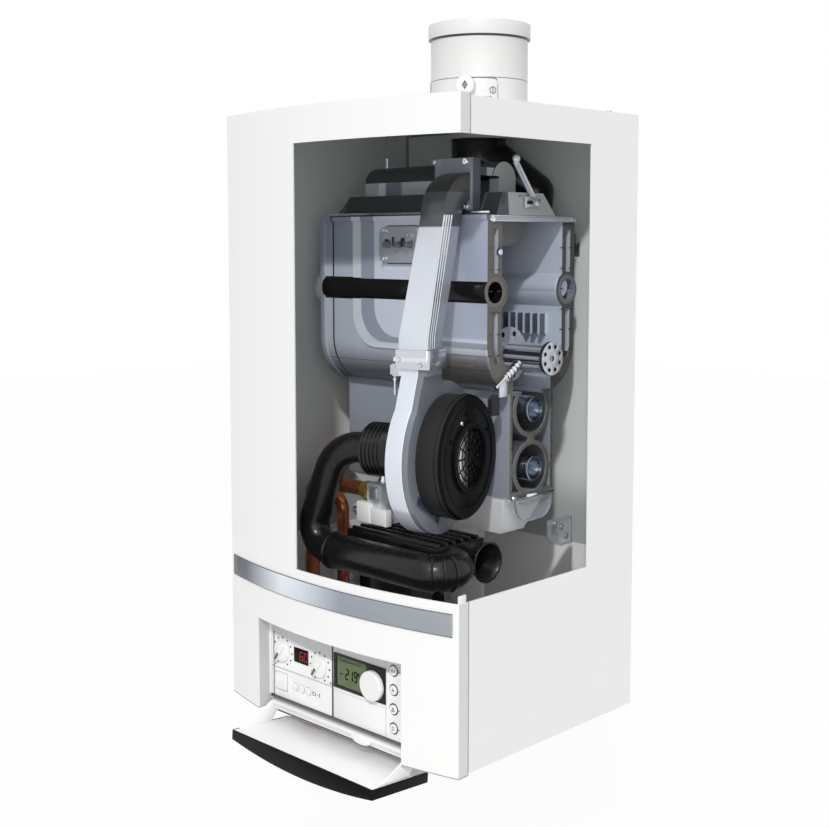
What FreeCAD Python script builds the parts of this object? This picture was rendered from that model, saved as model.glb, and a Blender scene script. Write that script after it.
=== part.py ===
import FreeCAD, Part
import math
import os

Vector = FreeCAD.Vector

# Wall-hung condensing boiler with cut-away casing, millimetres.
# X runs to the right, Y towards the wall, Z up. The wall is the plane Y = 0.
# Depths named "..._depth" are measured back from the chord of the bowed front.

# Casing
case_width = 440.0
case_height = 818.0
drawn_height = 818.0
level = case_height / drawn_height
case_depth = 354.0
wall_gap = 4.0
front_bow = 30.0
sheet = 2.0
front_return = 17.4
panel_gap = 1.0
panel_inset = 3.0
edge_clearance = 0.5
flange_width = 16.0
window_low = 215.5 * level
window_high = 771.0 * level
window_left = -45.0
side_window_depth = 250.5

# Control recess and trim strip in the front cover
recess_half = 140.0
recess_height = 128.5
collar_depth = 4.6
trim_low = 174.3 * level
trim_high = 202.8 * level
trim_half = 212.0
trim_thickness = 1.2
trim_gap = 0.1

# Casing screws
screw_radius = 2.0
screw_hole_gap = 0.2
screw_head_radius = 4.0
screw_head_height = 2.5
screw_length = 8.0
screw_front_depth = 60.0
screw_rear_depth = 300.0

# Wall bracket and spacer
bracket_half = case_width / 2 - 35.0
bracket_low = 600.0 * level
bracket_height = 55.0
bracket_sheet = 3.0
bracket_hole_radius = 4.5
bracket_hole_pitch_x = 290.0
bracket_hole_pitch_z = 30.0
tongue_x = 103.0
tongue_width = 40.0
tongue_z = 641.0 * level
tongue_reach = 12.0
tongue_lip = 12.0
tongue_slot_drop = 17.0
tongue_seat_gap = 0.2
tongue_side_gap = 2.0
spacer_half = case_width / 2 - 40.0
spacer_low = -8.0
spacer_high = 16.0

# Flue adapter and inner pipe
flue_depth = 278.5
flue_outer_radius = 68.5
flue_bore_radius = 63.0
flue_collar_radius = 72.0
flue_lower_wall = 2.5
flue_tail = 10.0
flue_ring_height = 55.0
flue_pipe_height = 58.0
flue_collar_height = 20.0
flue_base_radius = 78.0
flue_base_height = 2.5
flue_hole_gap = 0.5
test_plate_thickness = 1.5
test_plate_height = 42.0
test_plate_margin = 8.0
test_plate_start = -70.0
test_plate_end = -27.0
test_cap_radius = 12.5
test_cap_length = 12.0
test_cap_plug = 6.0
test_cap_angles = (-62.0, -138.0)
test_cap_height = 43.0
inner_flue_radius = 40.3
inner_flue_wall = 2.0
inner_flue_low = 790.0 * level
inner_flue_drop = 13.0
inner_flue_socket = 65.0
inner_flue_step = 1.0

# Control box, fascias and display
fascia_depth = 5.0
fascia_thickness = 3.0
fascia_half = recess_half + 1.0
fascia_low = 15.5
fascia_high = 131.0
fascia_split = 128.5 - recess_half
fascia_joint = 1.0
arm_slot_height = 106.0
box_depth = 64.0
box_high = 150.0
box_wall = 2.5
ledge_radius = 7.5
ledge_drop = 8.0
ledge_depth = 7.0
board_side_gap = 6.1
board_depth = 26.0
board_thickness = 1.6
board_low = 24.0
board_high = 126.0
board_post_radius = 4.0
board_post_inset = 12.0
led_center = (63.7 - recess_half, 82.6)
led_size = (31.0, 21.0)
bezel_left = fascia_split + 3.0
bezel_right = recess_half - 50.3
bezel_low = 58.0
bezel_high = 105.0
bezel_thickness = 1.4
lcd_left = bezel_left + 6.5
lcd_right = bezel_right - 35.0
lcd_low = 62.0
lcd_high = 102.3
lcd_thickness = 0.9
pane_gap = 0.3
pane_recess = 0.3

# Knobs, dial, switch and buttons
knob_centers = ((25.0 - recess_half, 81.3), (102.6 - recess_half, 77.5))
knob_radius = 13.5
knob_base_radius = 14.5
knob_base_height = 3.0
knob_height = 8.0
knob_grip_width = 6.0
dial_center = (bezel_right - 21.7, 78.5)
dial_radius = 19.5
dial_height = 7.0
shaft_radius = 3.0
shaft_length = 14.0
shaft_clearance = 0.06
turning_gap = 0.4
switch_center = (22.5 - recess_half, 38.0)
switch_size = (24.0, 21.0)
switch_flange_inset = 3.0
switch_proud = 2.0
switch_travel = 2.0
key_x = (51.4 - recess_half, 64.9 - recess_half, 78.2 - recess_half)
key_z = 37.0
key_radius = 5.5
round_button_x = recess_half - 36.0
round_button_top = 106.0
round_button_pitch = 25.0
round_button_radius = 6.0
button_proud = 1.5
button_travel = 1.5
button_gap = 0.35
button_flange = 1.5
button_flange_gap = 0.3
key_flange = 0.9
stem_radius = 2.0
stem_board_gap = 1.0

# Flap in front of the controls, drawn closed and then swung open
flap_open_angle = 86.0
flap_side_gap = 1.5
flap_half = recess_half - flap_side_gap
flap_low = 28.0
flap_high = 127.0
flap_inner_depth = -5.0
flap_wall = 1.6
tray_thickness = 3.0
tray_gap = 0.4
pivot_depth = 41.8
pivot_z = 22.2
arm_edge = 0.1
arm_thickness = 2.6
arm_box_gap = 1.2
arm_eye_radius = 12.0
arm_base_low = 61.0
arm_base_high = 117.0
arm_slot_gap = 0.6
pin_radius = 3.0
pin_clearance = 0.06
pin_overhang = 1.5
pin_inside = 8.0

# Heat exchanger, sectioned at its right end
exchanger_depth = 122.0
exchanger_half = 157.0
drum_width = 176.0
drum_top = 680.0 * level
drum_low = 449.0 * level
drum_shoulder = 61.0
drum_shoulder_radius = 64.5
drum_wall = 26.0
drum_outer_skin = 9.0
drum_inner_skin = 7.5
drum_end_wall = 17.0
channel_low = 490.0 * level
channel_high = 662.0 * level
channel_end = 130.0
header_z = 581.0 * level
header_inset = 14.0
header_front_inset = 13.0
header_radius = 20.0
header_bore = 14.0
header_gap = 0.2
end_flange_out = 4.0
end_flange_width = 8.0
end_flange_left = 3.0
header_cap_radius = 22.0
header_cap_length = 8.0
top_flange_height = 6.0
top_bar_width = 9.0
emboss_left = -95.0
emboss_step = 17.5
emboss_height = 0.9
emboss_low = 500.0 * level
emboss_high = 674.0 * level
emboss_corner = 44.0
fin_count = 8
fin_pitch = 13.0
fin_thickness = 4.0
fin_first_x = 36.0
fin_reach = 15.0
fin_low = 520.0 * level
fin_height = 28.0
neck_width = 89.0
neck_low = 309.0 * level
neck_left = -152.0
neck_end_wall = 10.0
chamber_radius = 31.0
chamber_slot = 30.0
neck_skin = 5.5
neck_floor = 8.0
neck_roof = 4.0
ring_wall = 6.5
ring_web = 14.0
ring_bridge = 5.0
port_upper_z = 424.4 * level
port_lower_z = 346.0 * level
port_radius = 17.5
port_wall = 4.0
port_proud = 6.0
port_plug = 6.0
bundle_z = 494.0 * level
bundle_core_radius = 7.0
bundle_big_radius = 38.0
bundle_big_x = 111.0
bundle_small_radius = 22.0
bundle_small_x = 186.0
bundle_disc = 5.0
bundle_rods = 8
bundle_rod_radius = 2.5
bundle_rod_circle = 16.0
bundle_hole_circle = 30.0
bundle_hole_radius = 3.6
bundle_end_hole = 2.8
bundle_rod_start = 60.0

# Burner hood, burner, inspection cover and electrodes
hood_left = -150.0
hood_right = 154.0
hood_front_inset = 18.0
hood_rear_inset = 38.0
hood_slope_height = 29.0
hood_slope_front = 14.0
hood_slope_rear = 24.0
hood_slope_left = 14.0
hood_slope_right = 2.0
dome_left = -133.0
dome_right = 117.0
dome_front_depth = 175.0
dome_width = 46.0
dome_band = 19.0
dome_rise = 22.5
dome_round = 11.0
boss_depth = 14.0
boss_neck_inset = 11.0
hood_wall = 6.0
burner_half = 144.0
burner_lap = 3.0
burner_plate = 4.0
burner_trough_radius = 44.0
burner_trough_half = 110.0
burner_skin = 3.0
hood_pocket_gap = 1.0
cover_left = -36.0
cover_right = 44.0
cover_low = 617.0 * level
cover_high = 666.0 * level
cover_thickness = 5.0
cover_corner = 15.0
electrode_count = 3
electrode_pitch = 20.0
electrode_radius = 4.0
electrode_gap = 0.3
electrode_out = 9.0
electrode_in = 30.0
electrode_tip_radius = 1.2
electrode_tip = 16.0

# Fan, its axis turned a little towards the wall
fan_x = 156.1
fan_depth = 88.0
fan_z = 374.6 * level
fan_turn = 15.0
motor_radius = 79.0
motor_length = 33.8
motor_wall = 4.0
motor_chamfer = 3.0
motor_ring_radius = 46.0
motor_ring_height = 4.0
grille_radius = 38.0
grille_bar = 2.2
grille_depth = 3.0
grille_hub = 8.0
grille_rings = (14.0, 22.0, 30.0)
grille_spokes = 12
scroll_gap = 0.2
scroll_length = 32.0
scroll_height = 98.0
scroll_reach = 93.0
scroll_shift_y = -5.0
scroll_shift_z = -2.0
scroll_wall = 3.0
scroll_inlet_radius = 30.0
outlet_center_y = -37.0
outlet_size = 40.0
outlet_top = 126.0
outlet_blend_top = 108.0
impeller_radius = 70.0
impeller_eye = 40.0
impeller_blades = 20
impeller_width = 20.0
impeller_plate = 2.0
impeller_blade = 1.6
impeller_hub = 14.0
impeller_side_gap = 3.0
rotor_radius = 40.0
rotor_length = 16.0
rotor_front_gap = 9.0
fan_shaft_radius = 5.0
fan_shaft_clearance = 0.06

# Mixing duct and its clamp
duct_wall = 2.5
duct_straight = 26.0
duct_top_x = 100.0
duct_top_depth = 95.0
duct_top_z = 680.0 * level
duct_top_size = (40.0, 34.0)
duct_elbow_radius = 37.0
duct_flange_left = 57.0
duct_flange_right = 121.0
duct_flange_low = 686.0 * level
duct_flange_high = 753.0 * level
duct_flange_thickness = 4.0
clamp_height = 24.0
clamp_wall = 4.0
clamp_gap = 0.4
duct_joint_gap = 0.2

# Moulded air intake pipe and silencer
coupling_radius = 33.0
coupling_wall = 3.0
coupling_length = 80.0
coupling_rib_height = 2.5
coupling_rib_pitch = 6.0
coupling_ribs = 5
coupling_overlap = 8.0
intake_radius = 20.5
intake_wall = 2.5
intake_turn_length = 52.0
intake_upper_bend = 54.0
intake_lower_bend = 32.0
intake_low_x = -92.0
intake_insert = 8.0
silencer_depth = 30.0
silencer_z = 233.0 * level
silencer_radius = 23.5
silencer_wall = 2.5
silencer_left = -36.0
silencer_bend_x = 128.0
silencer_bend_radius = 26.0
intake_fit_gap = 0.2
chamber_left = -40.0
chamber_front_depth = 58.0
chamber_rear_depth = 148.0
chamber_low = 210.0 * level
chamber_high = 257.0 * level
chamber_wall = 3.0
chamber_rib_count = 6
chamber_rib_height = 4.0
chamber_rib_width = 4.0
trumpet_depth = 124.0
trumpet_throat = 14.0
trumpet_mouth = 26.0
trumpet_length = 28.0
trumpet_wall = 2.0
leg_x = 60.0
leg_width = 14.0
leg_depth = 8.0

# Gas valve, union, pipes
valve_left = -62.0
valve_step_x = -30.0
valve_right = -2.0
valve_front_depth = 86.0
valve_rear_depth = 134.0
valve_step_inset = 6.0
valve_low_height = 22.0
valve_high_height = 56.0
valve_seat_gap = 0.2
gas_depth = 104.0
gas_axis_rise = 42.0
union_radius = 11.0
union_length = 24.0
union_gap = 0.2
gas_pipe_radius = 10.0
gas_pipe_x = 55.0 - case_width / 2
gas_pipe_bend = 24.0
pipe_wall = 1.5
pipe_low = -30.0
sleeve_length = 28.0
sleeve_wall = 1.5
pipe_hole_gap = 0.5
pipe_fit_gap = 0.1
water_radius = 9.0
water_bend = 18.0
flow_left_x = 28.0 - case_width / 2
flow_front_depth = 150.0
flow_x = 70.0 - case_width / 2
flow_mid_z = 290.0 * level
flow_turn_z = 262.0 * level
return_x = 42.0 - case_width / 2
return_depth = 272.0
return_turn_z = 398.0 * level
pump_z = 125.0
pump_radius = 36.0
pump_width = 40.0
pump_flange_radius = 15.0
pump_flange_height = 34.0
pump_motor_radius = 38.0
pump_motor_length = 86.0
pump_overlap = 10.0

# Condensate sump, siphon and flue duct
sump_left = -148.0
sump_right = 146.0
sump_low_left = -90.0
sump_low_right = 124.0
sump_top_inset = 2.0
sump_low_inset = 20.0
sump_height = 54.0
sump_wall = 3.0
siphon_x = 40.0
siphon_radius = 26.0
siphon_height = 110.0
siphon_wall = 2.5
siphon_tail_radius = 12.0
siphon_tail_wall = 2.0
siphon_inlet_radius = 9.0
duct_back_x = 66.0
duct_back_depth = 328.5
duct_back_radius = 21.0
duct_port_z = 287.0 * level
duct_port_radius = 20.0
duct_port_wall = 3.0
duct_port_gap = 0.2
duct_insert = 10.0
flue_duct_wall = 2.0
flue_duct_gap = 0.3
flue_turn_z = 765.0 * level
flue_slant_end_z = 715.0 * level
flue_slant_depth = 322.0
flue_slant_radius = 28.0
flue_taper_end_z = 660.0 * level
cable_hole_radius = 8.0
cable_hole_x = 150.0
cable_hole_depth = 120.0

# Places worked out from the sizes above
half_width = case_width / 2
front_y = -(wall_gap + case_depth)
rear_inner_y = -(wall_gap + sheet)
panel_low = panel_inset
panel_high = case_height - panel_inset
inner_half = half_width - sheet - edge_clearance
bow_radius = (half_width ** 2 + front_bow ** 2) / (2 * front_bow)
bow_center_y = front_y - front_bow + bow_radius
over = 1.0


def back(depth):
    return front_y + depth


drum_front = back(exchanger_depth)
drum_rear = drum_front + drum_width
cover_seat = drum_front - 2 * emboss_height
drum_mid = drum_front + drum_width / 2
neck_front = drum_mid - neck_width / 2
neck_rear = drum_mid + neck_width / 2
flue_y = back(flue_depth)
fascia_y = back(fascia_depth)
fascia_back_y = fascia_y + fascia_thickness
sump_low = neck_low - sump_height
pivot_y = back(pivot_depth)
arm_half = flap_half - flap_wall - tray_gap - arm_edge
arm_inner = arm_half - arm_thickness
box_half = arm_inner - arm_box_gap
board_half = box_half - box_wall - board_side_gap
chamber_top = chamber_high + chamber_rib_height
valve_low = chamber_top + valve_seat_gap
gas_axis_z = valve_low + gas_axis_rise


def box(x0, x1, y0, y1, z0, z1):
    return Part.makeBox(x1 - x0, y1 - y0, z1 - z0, Vector(x0, y0, z0))


def rod(start, end, radius):
    axis = end - start
    return Part.makeCylinder(radius, axis.Length, start, axis)


def cone(start, end, start_radius, end_radius):
    axis = end - start
    return Part.makeCone(start_radius, end_radius, axis.Length, start, axis)


def ball(center, radius):
    return Part.makeSphere(radius, center)


def fuse(shapes):
    return shapes[0].multiFuse(shapes[1:]).removeSplitter()


def prism(points, direction):
    return Part.Face(Part.makePolygon(points + [points[0]])).extrude(direction)


def ring_wire(center, axis, radius):
    return Part.Wire(Part.makeCircle(radius, center, axis))


def route(points, bends):
    edges = []
    last = points[0]
    for corner, after, bend in zip(points[1:-1], points[2:], bends):
        arrive = (corner - last).normalize()
        leave = (after - corner).normalize()
        half_turn = arrive.getAngle(leave) / 2
        reach = bend * math.tan(half_turn)
        start = corner - arrive * reach
        end = corner + leave * reach
        inward = (leave - arrive).normalize()
        middle = corner + inward * (bend / math.cos(half_turn) - bend)
        edges.append(Part.LineSegment(last, start).toShape())
        edges.append(Part.Arc(start, middle, end).toShape())
        last = end
    edges.append(Part.LineSegment(last, points[-1]).toShape())
    return Part.Wire(edges)


def sweep(points, bends, radius):
    path = route(points, bends)
    profile = ring_wire(points[0], points[1] - points[0], radius)
    return path.makePipeShell([profile], True, False)


def tube(points, bends, radius, wall):
    return sweep(points, bends, radius).cut(sweep(points, bends, radius - wall))


def bow_y(x, inset):
    return bow_center_y - math.sqrt((bow_radius - inset) ** 2 - x ** 2)


def bow_edge(half, inset, z):
    left = Vector(-half, bow_y(half, inset), z)
    right = Vector(half, bow_y(half, inset), z)
    return Part.Arc(left, Vector(0, bow_y(0, inset), z), right).toShape()


def bow_block(half, inset, rear_y, z0, z1):
    front = bow_edge(half, inset, z0)
    right = Vector(half, bow_y(half, inset), z0)
    right_back = Vector(half, rear_y, z0)
    left_back = Vector(-half, rear_y, z0)
    left = Vector(-half, bow_y(half, inset), z0)
    sides = Part.makePolygon([right, right_back, left_back, left]).Edges
    return Part.Face(Part.Wire([front] + sides)).extrude(Vector(0, 0, z1 - z0))


def bow_strip(half, outer_inset, inner_inset, z0, z1):
    outer = bow_block(half, outer_inset, front_y + front_return, z0, z1)
    return outer.cut(bow_block(half + over, inner_inset, front_y + front_return + over, z0 - over,
                               z1 + over))


def screw_places():
    inset = inner_half - flange_width / 2
    return [(side * inset, back(depth)) for side in (-1, 1)
            for depth in (screw_front_depth, screw_rear_depth)]


def screw_holes(z0, z1):
    radius = screw_radius + screw_hole_gap
    return [rod(Vector(x, y, z0), Vector(x, y, z1), radius) for x, y in screw_places()]


def front_cover():
    rear_y = back(front_return)
    shell = bow_block(half_width, 0, rear_y, 0, case_height)
    shell = shell.cut(bow_block(half_width - sheet, sheet, rear_y + over, sheet, case_height - sheet))
    front_limit = front_y - front_bow - over
    recess = box(-recess_half, recess_half, front_limit, rear_y + over, -over, recess_height)
    collar = bow_block(recess_half + sheet, 0, back(collar_depth), 0, recess_height + sheet)
    window = box(window_left, half_width + over, front_limit, rear_y + over, window_low, window_high)
    return shell.fuse(collar).cut(recess).cut(window).removeSplitter()


def trim_strip():
    return bow_strip(trim_half, -(trim_gap + trim_thickness), -trim_gap, trim_low, trim_high)


def side_panel(side):
    front = back(front_return + panel_gap)
    plate = box(half_width - sheet, half_width, front, -wall_gap, panel_low, panel_high)
    flange_left = half_width - sheet - flange_width
    upper = box(flange_left, half_width - sheet, front, rear_inner_y, panel_high - 2 * sheet,
                panel_high - sheet)
    lower = box(flange_left, half_width - sheet, front, rear_inner_y, panel_low + sheet,
                panel_low + 2 * sheet)
    panel = fuse([plate, upper, lower])
    if side < 0:
        panel = panel.mirror(Vector(0, 0, 0), Vector(1, 0, 0))
    for hole in screw_holes(panel_low, panel_high):
        panel = panel.cut(hole)
    return panel


def right_side_panel():
    opening = box(0, half_width + over, front_y, back(side_window_depth), window_low, window_high)
    return side_panel(1).cut(opening)


def rear_panel():
    panel = box(-inner_half, inner_half, -wall_gap - sheet, -wall_gap, panel_low, panel_high)
    half_slot = tongue_width / 2 + tongue_side_gap
    slot_top = tongue_z + bracket_sheet + tongue_seat_gap
    for side in (-1, 1):
        middle = side * tongue_x
        panel = panel.cut(box(middle - half_slot, middle + half_slot, rear_inner_y - over, over,
                              slot_top - bracket_sheet - tongue_slot_drop, slot_top))
    return panel


def top_panel():
    panel = box(-inner_half, inner_half, back(front_return + panel_gap), rear_inner_y,
                panel_high - sheet, panel_high)
    hole = rod(Vector(0, flue_y, 0), Vector(0, flue_y, case_height), flue_outer_radius + flue_hole_gap)
    panel = panel.cut(hole)
    for hole in screw_holes(panel_high - 2 * sheet, panel_high + over):
        panel = panel.cut(hole)
    return panel


def pipe_exits():
    return [(gas_pipe_x, back(gas_depth), gas_pipe_radius),
            (flow_x, back(flow_front_depth), water_radius),
            (return_x, back(return_depth), water_radius), (siphon_x, drum_mid, siphon_tail_radius)]


def bottom_panel():
    panel = box(-inner_half, inner_half, back(front_return + panel_gap), rear_inner_y, panel_low,
                panel_low + sheet)
    notch_half = recess_half + sheet + panel_gap
    notch_back = fascia_back_y + box_depth + panel_gap
    panel = panel.cut(box(-notch_half, notch_half, front_y, notch_back, 0, panel_low + 2 * sheet))
    for x, y, radius in pipe_exits():
        panel = panel.cut(rod(Vector(x, y, 0), Vector(x, y, panel_low + 2 * sheet),
                              radius + pipe_hole_gap))
    cable = Vector(cable_hole_x, back(cable_hole_depth), 0)
    panel = panel.cut(rod(cable, cable + Vector(0, 0, panel_low + 2 * sheet), cable_hole_radius))
    for hole in screw_holes(0, panel_low + 2 * sheet):
        panel = panel.cut(hole)
    return panel


def casing_screws():
    screws = []
    for x, y in screw_places():
        for seat, inward in ((panel_high, -1), (panel_low, 1)):
            start = Vector(x, y, seat)
            shank = rod(start, start + Vector(0, 0, inward * screw_length), screw_radius)
            head = rod(start, start - Vector(0, 0, inward * screw_head_height), screw_head_radius)
            screws.append(shank.fuse(head).removeSplitter())
    return Part.makeCompound(screws)


def wall_bracket():
    bar = box(-bracket_half, bracket_half, -bracket_sheet, 0, bracket_low, bracket_low + bracket_height)
    pieces = [bar]
    for side in (-1, 1):
        left = side * tongue_x - tongue_width / 2
        right = left + tongue_width
        top = tongue_z + bracket_sheet
        pieces.append(box(left, right, -tongue_reach, 0, tongue_z, top))
        pieces.append(box(left, right, -tongue_reach, -tongue_reach + bracket_sheet, tongue_z,
                          top + tongue_lip))
    bracket = fuse(pieces)
    middle_z = bracket_low + bracket_height / 2
    for x in (-bracket_hole_pitch_x / 2, bracket_hole_pitch_x / 2):
        for z in (middle_z - bracket_hole_pitch_z / 2, middle_z + bracket_hole_pitch_z / 2):
            hole = rod(Vector(x, -tongue_reach, z), Vector(x, over, z), bracket_hole_radius)
            bracket = bracket.cut(hole)
    return bracket


def wall_spacer():
    return box(-spacer_half, spacer_half, -wall_gap, 0, spacer_low, spacer_high)


def flue_point(z):
    return Vector(0, flue_y, z)


ring_top = panel_high + flue_ring_height
pipe_top = ring_top + flue_pipe_height
collar_top = pipe_top + flue_collar_height
cap_z = panel_high + test_cap_height


def outward(angle):
    return Vector(math.cos(math.radians(angle)), math.sin(math.radians(angle)), 0)


def flue_adapter():
    low = panel_high - flue_tail
    body = fuse([rod(flue_point(low), flue_point(pipe_top), flue_outer_radius),
                 rod(flue_point(pipe_top), flue_point(collar_top), flue_collar_radius),
                 rod(flue_point(panel_high), flue_point(panel_high + flue_base_height),
                     flue_base_radius)])
    body = body.cut(rod(flue_point(ring_top), flue_point(collar_top), flue_bore_radius))
    body = body.cut(rod(flue_point(low), flue_point(ring_top), flue_outer_radius - flue_lower_wall))
    plate_low = panel_high + test_plate_margin
    plate = Part.makeCylinder(flue_outer_radius + test_plate_thickness, test_plate_height,
                              flue_point(plate_low), Vector(0, 0, 1), test_plate_end - test_plate_start)
    plate.rotate(flue_point(0), Vector(0, 0, 1), test_plate_start)
    plate = plate.cut(rod(flue_point(plate_low), flue_point(collar_top),
                          flue_outer_radius - flue_lower_wall / 2))
    body = body.fuse(plate).removeSplitter()
    for angle in test_cap_angles:
        hole = rod(flue_point(cap_z), flue_point(cap_z) + outward(angle) * flue_base_radius,
                   test_cap_radius / 2)
        body = body.cut(hole)
    return body


def flue_test_caps():
    caps = []
    seats = (flue_outer_radius + test_plate_thickness, flue_outer_radius)
    for angle, seat in zip(test_cap_angles, seats):
        start = flue_point(cap_z) + outward(angle) * (seat + turning_gap)
        cap = rod(start, start + outward(angle) * test_cap_length, test_cap_radius)
        plug_start = start - outward(angle) * test_cap_plug
        plug = rod(plug_start, start, test_cap_radius / 2 - pipe_fit_gap)
        caps.append(cap.fuse(plug).removeSplitter())
    return Part.makeCompound(caps)


def flue_inner_pipe():
    low = flue_point(inner_flue_low)
    high = flue_point(collar_top - inner_flue_drop)
    step = high - Vector(0, 0, inner_flue_socket)
    pipe = rod(low, high, inner_flue_radius + inner_flue_wall)
    pipe = pipe.cut(rod(step, high, inner_flue_radius))
    return pipe.cut(rod(low, step, inner_flue_radius - inner_flue_step))


def flue_duct_solid(skin):
    inset = flue_duct_wall * skin
    top_radius = inner_flue_radius - inner_flue_step - flue_duct_gap - inset
    top = flue_point(inner_flue_low + duct_insert * 2)
    turn = flue_point(flue_turn_z)
    slant_end = Vector(duct_back_x, back(flue_slant_depth), flue_slant_end_z)
    taper_end = Vector(duct_back_x, back(duct_back_depth), flue_taper_end_z)
    foot = Vector(duct_back_x, back(duct_back_depth), duct_port_z)
    port = Vector(duct_back_x, neck_rear - sump_low_inset / 2 - duct_insert, duct_port_z)
    slant = flue_slant_radius - inset
    down = duct_back_radius - inset
    return fuse([rod(top, turn, top_radius), ball(turn, top_radius),
                 cone(turn, slant_end, top_radius, slant),
                 ball(slant_end, slant), cone(slant_end, taper_end, slant, down), ball(taper_end, down),
                 rod(taper_end, foot, down), ball(foot, down), rod(foot, port, duct_port_radius - inset)])


def flue_duct():
    return flue_duct_solid(0).cut(flue_duct_solid(1))


def fascia_hole(center, size):
    x, z = center
    return box(x - size[0] / 2, x + size[0] / 2, fascia_y - over, fascia_back_y + over, z - size[1] / 2,
               z + size[1] / 2)


def fascia_bore(center, radius):
    x, z = center
    return rod(Vector(x, fascia_y - over, z), Vector(x, fascia_back_y + over, z), radius)


def arm_slot(side):
    left = arm_inner - arm_slot_gap
    right = arm_half + arm_slot_gap
    slot = box(left, right, fascia_y - over, fascia_back_y + over, fascia_low - over, arm_slot_height)
    if side < 0:
        slot = slot.mirror(Vector(0, 0, 0), Vector(1, 0, 0))
    return slot


def left_fascia():
    plate = box(-fascia_half, fascia_split - fascia_joint / 2, fascia_y, fascia_back_y, fascia_low,
                fascia_high)
    cuts = [arm_slot(-1), fascia_hole(led_center, led_size)]
    cuts.append(fascia_hole(switch_center, [side + 2 * button_gap for side in switch_size]))
    cuts += [fascia_bore(center, shaft_radius + shaft_clearance) for center in knob_centers]
    cuts += [fascia_bore((x, key_z), key_radius + button_gap) for x in key_x]
    for cutter in cuts:
        plate = plate.cut(cutter)
    return plate


def round_button_centers():
    return [(round_button_x, round_button_top - i * round_button_pitch) for i in range(4)]


def right_fascia():
    plate = box(fascia_split + fascia_joint / 2, fascia_half, fascia_y, fascia_back_y, fascia_low,
                fascia_high)
    cuts = [arm_slot(1), fascia_bore(dial_center, shaft_radius + shaft_clearance)]
    cuts += [fascia_bore(center, round_button_radius + button_gap) for center in round_button_centers()]
    for cutter in cuts:
        plate = plate.cut(cutter)
    return plate


def led_window():
    half_x = led_size[0] / 2 - pane_gap
    half_z = led_size[1] / 2 - pane_gap
    x, z = led_center
    return box(x - half_x, x + half_x, fascia_y + pane_recess, fascia_back_y, z - half_z, z + half_z)


def display_bezel():
    plate = box(bezel_left, bezel_right, fascia_y - bezel_thickness, fascia_y, bezel_low, bezel_high)
    plate = plate.cut(box(lcd_left, lcd_right, fascia_y - bezel_thickness - over, fascia_y + over,
                          lcd_low, lcd_high))
    shaft_hole = fascia_bore(dial_center, shaft_radius + turning_gap)
    return plate.cut(shaft_hole.translated(Vector(0, -bezel_thickness, 0)))


def lcd_window():
    return box(lcd_left + pane_gap, lcd_right - pane_gap, fascia_y - lcd_thickness, fascia_y,
               lcd_low + pane_gap, lcd_high - pane_gap)


def control_box():
    rear = fascia_back_y + box_depth
    shell = box(-box_half, box_half, fascia_back_y, rear, fascia_low, box_high)
    inside = box(-box_half + box_wall, box_half - box_wall, fascia_back_y - over, rear - box_wall,
                 fascia_low + box_wall, box_high - box_wall)
    ledge_z = fascia_low - ledge_drop
    ledge_y = back(ledge_depth)
    ledge = rod(Vector(-box_half, ledge_y, ledge_z), Vector(box_half, ledge_y, ledge_z), ledge_radius)
    web = box(-box_half, box_half, ledge_y, fascia_back_y + box_wall, ledge_z, fascia_low - pane_gap)
    lip = box(-box_half, box_half, fascia_back_y, fascia_back_y + box_wall, ledge_z,
              fascia_low + box_wall)
    posts = []
    for x in (-board_half + board_post_inset, board_half - board_post_inset):
        for z in (board_low + board_post_inset, board_high - board_post_inset):
            start = Vector(x, back(board_depth + board_thickness), z)
            posts.append(rod(start, Vector(x, rear - box_wall / 2, z), board_post_radius))
    body = fuse([shell.cut(inside), ledge, web, lip] + posts)
    pin_hole = rod(Vector(-half_width, pivot_y, pivot_z), Vector(half_width, pivot_y, pivot_z),
                   pin_radius + pin_clearance)
    return body.cut(pin_hole)


def control_board():
    return box(-board_half, board_half, back(board_depth), back(board_depth + board_thickness), board_low,
               board_high)


def turning_shaft(center, front):
    x, z = center
    return rod(Vector(x, front, z), Vector(x, front + shaft_length, z), shaft_radius)


def knob(center):
    x, z = center
    seat = fascia_y - turning_gap
    base = rod(Vector(x, seat, z), Vector(x, seat - knob_base_height, z), knob_base_radius)
    body = rod(Vector(x, seat, z), Vector(x, seat - knob_height, z), knob_radius)
    grip = box(x - knob_grip_width / 2, x + knob_grip_width / 2, seat - knob_height, seat,
               z - knob_radius, z + knob_radius)
    keep = box(x - knob_radius, x + knob_radius, seat - knob_height / 2, seat, z - knob_radius,
               z + knob_radius)
    grip.rotate(Vector(x, seat, z), Vector(0, 1, 0), 35)
    body = body.common(fuse([keep, grip]))
    return fuse([base, body, turning_shaft(center, seat - knob_base_height)])


def dial():
    x, z = dial_center
    seat = fascia_y - bezel_thickness - turning_gap
    body = rod(Vector(x, seat, z), Vector(x, seat - dial_height, z), dial_radius)
    face = [edge for edge in body.Edges if edge.BoundBox.YMax < seat - dial_height / 2 and edge.Closed]
    body = body.makeFillet(dial_height / 3, face)
    return body.fuse(turning_shaft(dial_center, seat)).removeSplitter()


def stem(center):
    x, z = center
    return rod(Vector(x, fascia_back_y, z), Vector(x, back(board_depth) - button_travel - stem_board_gap,
                                                   z), stem_radius)


def round_key(center, radius, flange_width):
    x, z = center
    front = fascia_y - button_proud
    flange_y = fascia_back_y + button_flange_gap
    cap = rod(Vector(x, front, z), Vector(x, flange_y, z), radius)
    flange = rod(Vector(x, flange_y, z), Vector(x, flange_y + button_flange, z), radius + flange_width)
    return fuse([cap, flange, stem(center)])


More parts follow.
